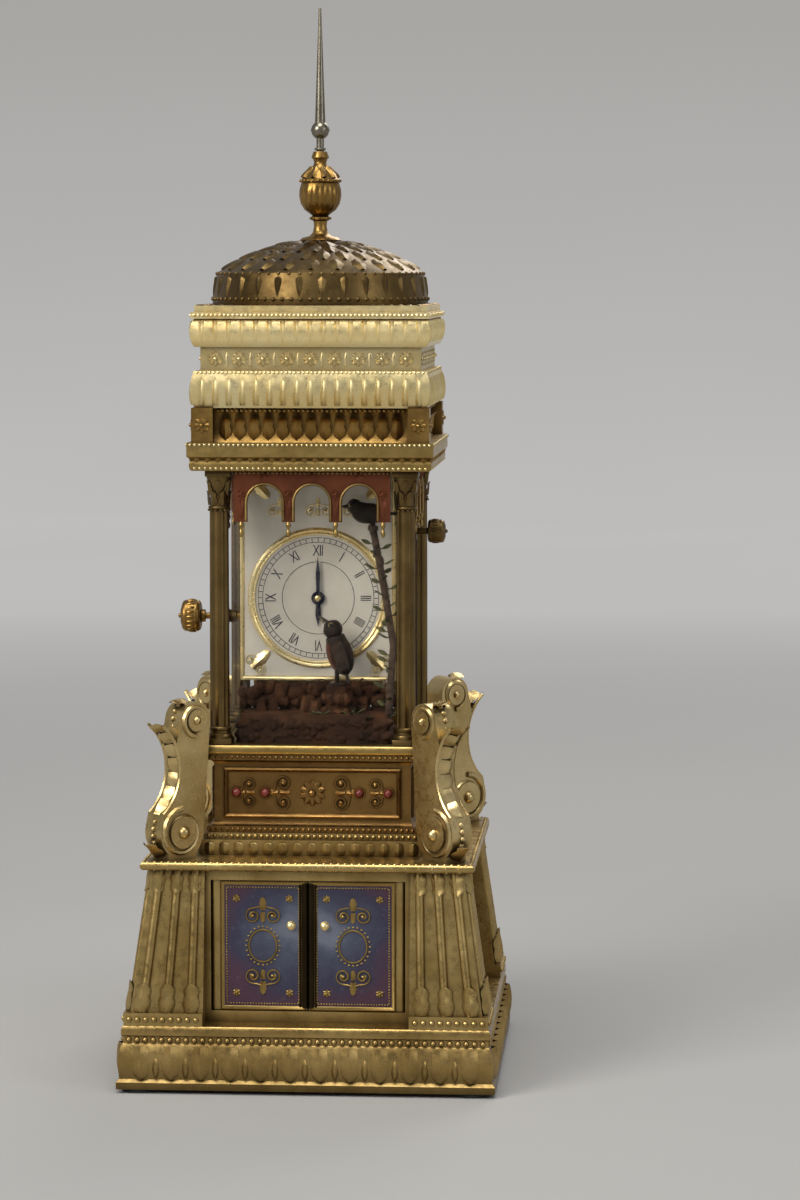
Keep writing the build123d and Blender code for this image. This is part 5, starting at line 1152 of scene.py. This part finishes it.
# Rock and branch: rough stones, moss and ferns over the solid mound, then knots and leaves on the branch
rockValues = {"x": 36.0, "front": -39.0, "back": -13.0, "ground": 158.0, "post": (10, -28),
              "branch": (34, -26.5), "stones": 62, "frontStones": 54, "backStones": 26,
              "backRows": (162.0, 168.0, 174.0, 179.5), "ferns": 46}


def stone(bm, place, radius, flat):
    small = bmesh.new()
    bmesh.ops.create_icosphere(small, subdivisions=3, radius=1.0)
    offset = Vector([random.uniform(0, 50) for _ in range(3)])
    for vert in small.verts:
        vert.co = vert.co * (1 + 0.34 * fractal(vert.co * 0.9 + offset, 0.8, 2.1, 4))
    spin = turnZ(random.uniform(0, tau))
    stamp(bm, small, [shift(place) @ spin @ Matrix.Diagonal((radius, radius * 0.85, radius * flat, 1))])


def makeRocks(v):
    bm, green, draw = bmesh.new(), bmesh.new(), random.uniform
    (px, py), (qx, qy), ground = v["post"], v["branch"], v["ground"]
    for _ in range(v["stones"]):
        x = draw(-v["x"] + 4, v["x"] - 4)
        y = draw(v["front"] + 3, v["back"])
        near = hypot(x - px, y - py)
        if near < 9 or hypot(x - qx, y - qy) < 4:
            continue
        tall = 6.0 + 4.0 * exp(-(near / 16) ** 2) + draw(-2, 2)
        stone(bm, Vector((x, y, ground + tall * 0.5)), draw(3.2, 5.6), draw(0.7, 1.2))
    for index in range(v["frontStones"]):
        x = -34.5 + 69.0 * ((index * 7) % 27) / 26
        z = ground + (1.5 if index % 2 else 7.0) + draw(-1.0, 1.5)
        stone(bm, Vector((x, v["front"] + 0.8 + 0.25 * (z - ground), z)), draw(2.4, 3.6), draw(0.7, 1.1))
    for index in range(v["backStones"]):
        x = -34.0 + 68.0 * index / (v["backStones"] - 1)
        for z in v["backRows"]:
            place = Vector((x + draw(-1.5, 1.5), draw(-18.0, -15.5), z + draw(-1.5, 1.2)))
            stone(bm, place, draw(3.0, 4.6), draw(0.75, 1.1))
    for angle in range(0, 360, 40):
        for z, reach in ((163.0, 6.6), (170.0, 5.6), (177.0, 4.9)):
            stone(bm, Vector((px, py, z)) + heading(angle) * reach, draw(2.4, 3.2), 1.1)
    makePiece("rough_stones", bm, mattes["rock"], "case", angle=50)
    for _ in range(v["ferns"]):
        x = draw(-v["x"] + 4, v["x"] - 3)
        y = draw(v["front"] + 2, v["back"])
        near = hypot(x - px, y - py)
        if near < 8:
            continue
        foot = Vector((x, y, ground + 7.0 + 4.0 * exp(-(near / 16) ** 2)))
        fronds = []
        for frond in range(5):
            turn = tau * (frond + random.random()) / 5
            along = Vector((cos(turn) * 0.7, sin(turn) * 0.7, 0.8))
            fronds.append(axes(foot, along, Vector((cos(turn) * -0.6, sin(turn) * -0.6, 0.7))))
        leaves(green, fronds, draw(4.0, 6.5), 2.2, lobes=3, curl=-0.6, cup=0.25, cells=(4, 6))
    makePiece("moss_and_ferns", green, mattes["moss"], "case")


branchValues = {"line": [(34.0, -26.5, 168.0), (36.5, -26.5, 202.0), (32.0, -29.5, 231.0),
                         (27.0, -28.0, 257.0)],
                "leaves": 34, "stalk": 3.6, "bareAbove": 250.0, "frontLimit": -39.5, "sideLimit": 39.0}


def makeBranch(v):
    bm, green = bmesh.new(), bmesh.new()
    points = [Vector(point) for point in v["line"]]
    for first, second in zip(points, points[1:]):
        for share in (0.15, 0.4, 0.7, 0.95):
            knot = first.lerp(second, share)
            side = Vector((random.uniform(-1, 1), random.uniform(-1, 1), 0)).normalized()
            ball(bm, knot + side * 0.9, random.uniform(1.1, 1.6), 10, 7, squash=(1, 1, 1.9))
    for index in range(v["leaves"]):
        share = (index + 0.5) / v["leaves"] * 3
        part = min(2, int(share))
        place = points[part].lerp(points[part + 1], share - part)
        if place.z > v["bareAbove"]:
            continue
        turn = 2.4 * index
        out = Vector((cos(turn), sin(turn), 0.25)).normalized()
        tip = place + out * v["stalk"]
        if tip.y < v["frontLimit"] or abs(tip.x) > v["sideLimit"]:
            out = Vector((-abs(out.x), abs(out.y), out.z))
            tip = place + out * v["stalk"]
        tube(bm, [place, place + out * 1.8 + Vector((0, 0, 0.3)), tip], [0.5, 0.35, 0.22], 6)
        blade = axes(tip - out * 0.4, out + Vector((0, 0, 0.3)), Vector((0, -0.5, 1)))
        leaf(green, blade, random.uniform(4.5, 6.0), 3.1, lobes=1, curl=-0.3, cup=0.2, rib=0.08, cells=(4, 6))
    makePiece("branch_knots", bm, mattes["bark"], "case")
    makePiece("branch_leaves", green, mattes["moss"], "case")


makeRocks(rockValues)
makeBranch(branchValues)

# Birds: rows of feathers over the solid bodies, then eyes, wing and tail quills, and toes
birdValues = {
    "main": {"centre": (11.5, -28.0, 198.0), "lean": 107.0, "half": 10.0, "radius": 5.8,
             "head": (8.0, -28.0, 209.5), "headRadius": 4.4, "beak": 135.0,
             "body": "bird", "headBody": "bird_head", "feet": (10.0, -28.0, 184.3), "toe": 3.0},
    "second": {"centre": (25.0, -28.0, 264.0), "lean": 180.0, "half": 8.0, "radius": 4.6,
               "head": (18.2, -28.0, 267.2), "headRadius": 3.4, "beak": 180.0,
               "body": "second_bird", "headBody": "second_bird", "feet": (27.0, -28.0, 258.4), "toe": 2.2},
}


def onEgg(place, axis, around, lean, bulge):
    # A feather's frame on an egg: it lies on the surface and points back along the egg's axis
    normal = (axis * lean + around * bulge).normalized()
    along = (-axis - normal * (-axis).dot(normal)).normalized()
    return axes(place, along, normal)


def coat(bm, centre, axis, half, radius, rows, size, upTo=1.0):
    # Feathers over an egg whose long axis is given, pointing back along it
    axis = axis.normalized()
    side = Vector((0, 1, 0))
    top = axis.cross(side).normalized()
    for row in range(rows):
        share = -0.86 + (0.86 + upTo * 0.8) * row / max(1, rows - 1)
        ring = sqrt(max(0.02, 1 - share * share))
        count = max(5, int(tau * radius * ring / (size * 0.62)))
        matrices = []
        for index in range(count):
            turn = tau * (index + 0.5 * (row % 2)) / count
            around = side * cos(turn) + top * sin(turn)
            place = Vector(centre) + axis * (half * share) + around * (radius * ring)
            matrices.append(onEgg(place, axis, around, share / half, ring / radius))
        leaves(bm, matrices, size * 1.5, size, lobes=1, curl=-0.12, cup=0.16, rib=0.04, cells=(4, 5))


def makeBirds(table):
    for name, v in table.items():
        axis, gaze, r = rising(v["lean"]), rising(v["beak"]), v["headRadius"]
        bm = bmesh.new()
        coat(bm, v["centre"], axis, v["half"], v["radius"], 9, 2.0)
        neck = Vector(v["centre"]).lerp(Vector(v["head"]), 0.62)
        coat(bm, neck, Vector(v["head"]) - neck, r * 1.05, r * 0.98, 5, 1.9, upTo=0.35)
        makePiece(f"{name}_bird_feathers", bm, mattes["darkPlumage"], v["body"])
        bm = bmesh.new()
        coat(bm, v["head"], gaze, r, r, 7, 1.2, upTo=0.72)
        makePiece(f"{name}_head_feathers", bm, mattes["darkPlumage"], v["headBody"])
        bm, ring = bmesh.new(), bmesh.new()
        for side in (-1, 1):
            out = gaze * 0.42 + Vector((0, side * 0.86, 0)) + gaze.cross(Vector((0, 1, 0))) * -0.28
            out.normalize()
            eye = Vector(v["head"]) + out * r
            ball(bm, eye, r * 0.19, 14, 9)
            spinProfile(ring, [(r * 0.19, -0.1), (r * 0.27, 0.1), (r * 0.3, -0.1)], 16,
                        matrices=[axes(eye, gaze, out)])
        makePiece(f"{name}_eyes", bm, mattes["eye"], v["headBody"])
        makePiece(f"{name}_eye_rings", ring, gilt, v["headBody"])
        if name == "main":
            breast = bmesh.new()
            low = axis.cross(Vector((0, 1, 0))).normalized()
            low = low if low.x < 0 else -low
            for row in range(6):
                share = 0.62 - 0.2 * row
                reach = sqrt(1 - share * share)
                matrices = []
                for index in range(-2, 3):
                    turn = index * 0.36
                    around = low * cos(turn) + Vector((0, 1, 0)) * sin(turn)
                    place = Vector(v["centre"]) + axis * v["half"] * share
                    place += around * (v["radius"] * reach + 0.2)
                    matrices.append(onEgg(place, axis, around, share / v["half"], reach / v["radius"]))
                leaves(breast, matrices, 2.8, 1.9, lobes=1, curl=-0.1, cup=0.18, rib=0.04, cells=(4, 5))
            makePiece("breast_feathers", breast, mattes["redPlumage"], "bird")


def quills(bm, root, along, out, count, length, spreadAngle, width):
    matrices = []
    for index in range(count):
        share = (index / max(1, count - 1)) * 2 - 1
        turn = Matrix.Rotation(spreadAngle * share, 4, Vector(out))
        matrices.append(axes(Vector(root), turn.to_3x3() @ Vector(along), out))
    leaves(bm, matrices, length, width, lobes=1, curl=-0.1, cup=0.12, rib=0.06, cells=(4, 6))


def makeQuills(v):
    axis = rising(v["lean"])
    back = axis.cross(Vector((0, 1, 0))).normalized()
    back = back if back.x > 0 else -back
    for side, body in ((-1, "bird_left_wing"), (1, "bird_right_wing")):
        bm = bmesh.new()
        face = Vector(v["centre"]) + Vector((0, side * 7.35, 0))
        for row, (start, length, width) in enumerate(((6.0, 6.2, 2.2), (2.6, 7.0, 2.2), (-1.2, 6.2, 1.9))):
            for index in range(5):
                place = face + axis * (start - 0.25 * index) + back * (2.2 - 1.1 * index)
                place -= Vector((0, side * 0.12 * row, 0))
                leaf(bm, axes(place, -axis + back * 0.06, (0, side, 0)), length, width, lobes=1, curl=0.0,
                     cup=0.14, rib=0.06, cells=(4, 6))
        makePiece(f"{body}_feathers", bm, mattes["wingPlumage"], body)
    bm = bmesh.new()
    root = Vector(v["centre"]) - axis * 9.2
    for side in (-1, 1):
        quills(bm, root + back * 0.4 * side, -axis, back * side, 5, 5.0, 0.32, 1.9)
    makePiece("bird_tail_feathers", bm, mattes["wingPlumage"], "bird_tail")


makeBirds(birdValues)
makeQuills(birdValues["main"])
print("rock, branch and birds dressed")

# Movements: screws, a cock with its jewel, hairspring, pleated leather, and mouldings on the back
backValues = {"plateFront": -9.0, "plateBack": 14.5, "plateX": (-23.0, 23.0), "plateZ": (189.0, 267.0),
              "songFront": -22.0, "songBack": 8.0, "songX": (-39.0, -3.0), "songZ": (39.0, 87.0),
              "screw": 2.3, "plateMiddle": 228.0, "plateHalf": (27.2, 43.2), "scrollRise": 34.0}


def middleOf(node):
    low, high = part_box(node)
    return (Vector(low) + Vector(high)) / (2 * mm)


def makeScrews(name, places, out, radius):
    bm, slotShade, cut = bmesh.new(), bmesh.new(), bmesh.new()
    seats = [axes(place, (0.4, 0, 1), out) for place in places]
    head = [(0.01, 1.0), (radius * 0.6, 0.97), (radius * 0.9, 0.75), (radius, 0.45), (radius, 0.0)]
    spinProfile(bm, head, 20, matrices=seats)
    # Each slot is a black bar laid on the head: painted shade where the slot's cut would be
    slot = shift((0, 0, 0.95)) @ Matrix.Diagonal((0.4, radius * 1.7, 0.1, 1))
    bmesh.ops.create_cube(cut, size=1.0, matrix=slot)
    stamp(slotShade, cut, seats)
    makePiece(f"{name}_screws", bm, metals["blued"], "case")
    makePiece(f"{name}_screw_slot_shade", slotShade, mattes["eye"], "case")


def makeMovementDetails(v):
    for name, group, edge, away in (("front_plate", "plate", "Front", -1), ("back_plate", "plate", "Back", 1),
                                    ("song_front", "song", "Front", -1), ("song_back", "song", "Back", 1)):
        corners = [(x, v[group + edge], z) for x in v[group + "X"] for z in v[group + "Z"]]
        makeScrews(name, corners, (0, away, 0), v["screw"])
    centre = middleOf("balance_wheel")
    face = facing((centre.x, v["plateBack"], centre.z), 1)
    bm, jewels = bmesh.new(), bmesh.new()
    profile = [(0.01, 1.6), (3.2, 1.6), (3.8, 1.3), (4.0, 0.8), (4.0, 0.0)]
    spinProfile(bm, profile, 32, matrices=[face])
    toCentre = -1 if centre.x > 0 else 1
    arm = [(centre.x + toCentre * reach, v["plateBack"] + 0.8, centre.z - reach * 0.35)
           for reach in (0.0, 4.0, 8.0, 11.0)]
    tube(bm, arm, [2.2, 2.6, 3.0, 2.4], 16)
    scrollPair(bm, face @ shift((0, -9.0, 0.2)), 8.0, 0.5)
    for node in ("centre_wheel", "third_wheel", "escape_wheel", "balance_wheel", "pallet_lever"):
        place = middleOf(node)
        seat = facing((place.x, v["plateBack"] + (1.6 if node == "balance_wheel" else 0.0), place.z), 1)
        spinProfile(bm, [(0.9, 0.35), (1.2, 0.5), (1.7, 0.5), (1.9, 0.3), (1.9, 0.0)], 24, matrices=[seat])
        ball(jewels, seat @ Vector((0, 0, 0.05)), 0.85, 12, 7)
    plate = facing((0.0, v["plateBack"], v["plateMiddle"]), 1)
    frameMoulding(bm, plate, *v["plateHalf"], [(0.0, 0.0), (0.05, 0.3), (0.6, 0.4), (1.0, 0.3), (1.1, 0.0)])
    for hand in (-1, 1):
        for x in (-11.0, 11.0):
            turned = turnZ(0.0 if hand > 0 else pi)
            scrollPair(bm, plate @ shift((x, hand * v["scrollRise"], 0.0)) @ turned, 8.0, 0.3)
        rosette(bm, plate @ shift((0, hand * v["scrollRise"], 0.0)), 2.6, 8)
    makePiece("balance_cock", bm, metals["movementBrass"], "case")
    makePiece("jewels", jewels, mattes["redLacquer"], "case")
    bm = bmesh.new()
    turns = spiral((0.0, 0.0), 5.2, 6.0, shrink=0.28)
    tube(bm, [(centre.x + x, centre.y - 0.9, centre.z + y) for x, y in turns], 0.13, 5)
    makePiece("hairspring", bm, metals["blued"], "balance")


bellowsValues = {"x": 31.0, "y": -12.0, "low": 50.0, "high": 60.0, "half": (16.4, 27.4), "inset": 2.4,
                 "edges": 9, "pitch": 0.955}


def makeBellows(v):
    folds = [(v["inset"] if step % 2 else 0.0, 0.05 + step * v["pitch"]) for step in range(v["edges"])]
    bm = bmesh.new()
    frameMoulding(bm, shift((v["x"], v["y"], v["low"])), *v["half"], folds)
    body = ("case", "bellows_top", (0.031, -0.012, 0.0506), (0.031, -0.012, 0.0572))
    makePiece("bellows_pleats", bm, mattes["kid"], body, ["bellows_leather"], angle=25)
    bm = bmesh.new()
    frameMoulding(bm, shift((v["x"], v["y"], v["high"])), 16.0, 27.0,
                  [(0.0, 0.0), (0.1, 0.5), (0.8, 0.8), (1.5, 0.5), (1.6, 0.0)])
    makePiece("bellows_board_trim", bm, metals["movementBrass"], "bellows_top")


backTrimValues = {"cover": (0, 71.5, 66.5), "coverHalf": (45.6, 33.4), "hole": (-25.0, 71.5, 56.0),
                  "door": (-0.75, 45.0, 221.0), "doorHalf": (35.6, 62.8),
                  "hinge": (35.5, 43.5), "knuckles": (165.0, 193.0, 221.0, 249.0, 277.0)}


def makeBackTrim(v):
    bm = bmesh.new()
    back = facing(v["cover"], 1)
    frameMoulding(bm, back, *v["coverHalf"], [(0.0, 0.0), (0.1, 0.9), (1.0, 1.3), (1.8, 0.8), (2.4, 0.05)])
    frameMoulding(bm, back, 31.0, 24.0, [(0.0, 0.0), (0.1, 0.5), (0.5, 0.7), (0.9, 0.0)])
    for hand in (-1, 1):
        scrollPair(bm, back @ shift((0, hand * 17.0, 0.05)) @ turnZ(pi / 2 - hand * pi / 2), 11.0, 0.5)
    rosette(bm, back @ shift((0, 0, 0.05)), 6.0, 10)
    hole = facing(v["hole"], 1)
    spinProfile(bm, [(4.2, 0.0), (4.3, 0.9), (5.0, 1.2), (5.8, 0.8), (6.4, 0.0)], 32, matrices=[hole])
    balls(bm, [hole @ point for point in ringOf(18, 7.0, 0.1)], 0.5, 6, 4)
    makePiece("back_cover_moulding", bm, agedGilt, "case")
    bm, knuckles = bmesh.new(), bmesh.new()
    door = facing(v["door"], 1)
    frameMoulding(bm, door, *v["doorHalf"],
                  [(0.0, 0.0), (0.1, 0.2), (1.0, 0.35), (2.0, 0.2), (2.9, 0.3), (3.4, 0.0)])
    for y in (61.1, -61.1):
        beadRow(bm, door @ Vector((-31.0, y, 0.2)), door @ Vector((26.0, y, 0.2)), 28, 0.5)
    makePiece("rear_door_moulding", bm, oldGilt, "rear_door")
    knuckle = [(1.4, -3.0), (1.9, -2.8), (1.9, -2.3), (1.65, -2.1), (1.65, 2.1), (1.9, 2.3), (1.9, 2.8),
               (1.4, 3.0)]
    spinProfile(knuckles, knuckle, 20, matrices=[shift((*v["hinge"], z)) for z in v["knuckles"]])
    makePiece("rear_door_knuckles", knuckles, oldGilt, "rear_door")


def makeFeet(table):
    for name, v in table.items():
        bm, foot = bmesh.new(), Vector(v["feet"])
        for turn in (150, 180, 210, 0):
            out = heading(turn) * v["toe"] * (0.7 if turn == 0 else 1.0)
            tube(bm, [foot, foot + out * 0.6 + Vector((0, 0, 0.3)), foot + out - Vector((0, 0, 0.2))],
                 [0.5, 0.42, 0.2], 8)
        makePiece(f"{name}_toes", bm, mattes["beakHorn"], v["body"])


makeMovementDetails(backValues)
makeBellows(bellowsValues)
makeBackTrim(backTrimValues)
makeFeet(birdValues)
print("movements and back dressed")

# Stage: a pale floor that runs up into a backdrop, and soft lamps
stageValues = {"reach": 24.0, "back": 5.0, "curve": 1.2, "height": 5.0, "fadeFrom": 0.5, "fadeTo": 2.4}


def makeStage(v):
    bm = bmesh.new()
    section = [(-v["reach"], 0.0)]
    for step in range(13):
        angle = pi / 2 * step / 12
        section.append((v["back"] - v["curve"] + v["curve"] * sin(angle), v["curve"] * (1 - cos(angle))))
    section.append((v["back"], v["height"]))
    line = [bm.verts.new((-v["reach"], y, z)) for y, z in section]
    edges = [bm.edges.new(pair) for pair in zip(line, line[1:])]
    made = bmesh.ops.extrude_edge_only(bm, edges=edges)["geom"]
    ends = [part for part in made if isinstance(part, bmesh.types.BMVert)]
    bmesh.ops.translate(bm, verts=ends, vec=(2 * v["reach"], 0, 0))
    bmesh.ops.recalc_face_normals(bm, faces=bm.faces)
    mesh = bpy.data.meshes.new("backdrop")
    bm.to_mesh(mesh)
    bm.free()
    mesh.polygons.foreach_set("use_smooth", [True] * len(mesh.polygons))
    floor = bpy.data.objects.new("backdrop", mesh)
    bpy.context.scene.collection.objects.link(floor)
    material, tree, shader, where = newMaterial("paleFloor")
    rise = spread(tree, parts(tree, where)[2], 0.0, 1.0, 0.0, 1.0)
    cloud = noise(tree, where, 1.2, 2.0)
    colour = ramp(tree, rise, [(0.0, (0.52, 0.515, 0.51)), (0.35, (0.46, 0.455, 0.45)),
                               (0.9, (0.39, 0.38, 0.365))])
    colour = blendColour(tree, spread(tree, cloud, 0.0, 0.12), colour, (0.36, 0.35, 0.34))
    put(shader, Roughness=0.9)
    near = blendColour(tree, spread(tree, cloud, 0.0, 0.5), (0.37, 0.362, 0.35), (0.33, 0.325, 0.31))
    paint(tree, shader, near)
    reach = tree.nodes.new("ShaderNodeVectorMath")
    reach.operation = "LENGTH"
    tree.links.new(where, reach.inputs[0])
    seen = tree.nodes.new("ShaderNodeLightPath").outputs
    bounced = sums(tree, "MAXIMUM", seen["Is Glossy Ray"], seen["Is Transmission Ray"])
    rays = sums(tree, "MAXIMUM", seen["Is Camera Ray"], bounced)
    fade = spread(tree, reach.outputs["Value"], 0.0, 1.0, v["fadeFrom"], v["fadeTo"])
    glow = tree.nodes.new("ShaderNodeEmission")
    tree.links.new(colour, glow.inputs["Color"])
    mix = tree.nodes.new("ShaderNodeMixShader")
    tree.links.new(sums(tree, "MULTIPLY", rays, fade), mix.inputs[0])
    tree.links.new(shader.outputs[0], mix.inputs[1])
    tree.links.new(glow.outputs[0], mix.inputs[2])
    tree.links.new(mix.outputs[0], tree.nodes["Material Output"].inputs[0])
    mesh.materials.append(material)


makeStage(stageValues)

lampValues = {
    "left": {"place": (-1.2, -1.4, 1.25), "size": 1.0, "power": 30.0, "colour": (1.0, 0.97, 0.92)},
    "right": {"place": (1.5, -0.9, 0.9), "size": 0.8, "power": 5.0, "colour": (0.95, 0.97, 1.0)},
    "top": {"place": (0.0, -0.5, 1.9), "size": 1.0, "power": 20.0, "colour": (1.0, 1.0, 1.0)},
    "back": {"place": (0.4, 1.2, 1.2), "size": 0.8, "power": 8.0, "colour": (1.0, 0.98, 0.95)},
}


def makeLamp(name, v):
    lamp = bpy.data.lights.new(name, "AREA")
    lamp.shape = "SQUARE"
    lamp.size = v["size"]
    lamp.energy = v["power"]
    lamp.color = v["colour"]
    seat = bpy.data.objects.new(name, lamp)
    seat.location = v["place"]
    seat.rotation_euler = (Vector(v["place"]) - Vector((0, 0, 0.25))).to_track_quat("Z", "Y").to_euler()
    bpy.context.scene.collection.objects.link(seat)


for lampName, values in lampValues.items():
    makeLamp(lampName, values)

world = bpy.data.worlds.new("studio")
world.use_nodes = True
world.node_tree.nodes["Background"].inputs[0].default_value = (0.55, 0.56, 0.58, 1.0)
world.node_tree.nodes["Background"].inputs[1].default_value = 0.55
bpy.context.scene.world = world
print("stage and lamps set")
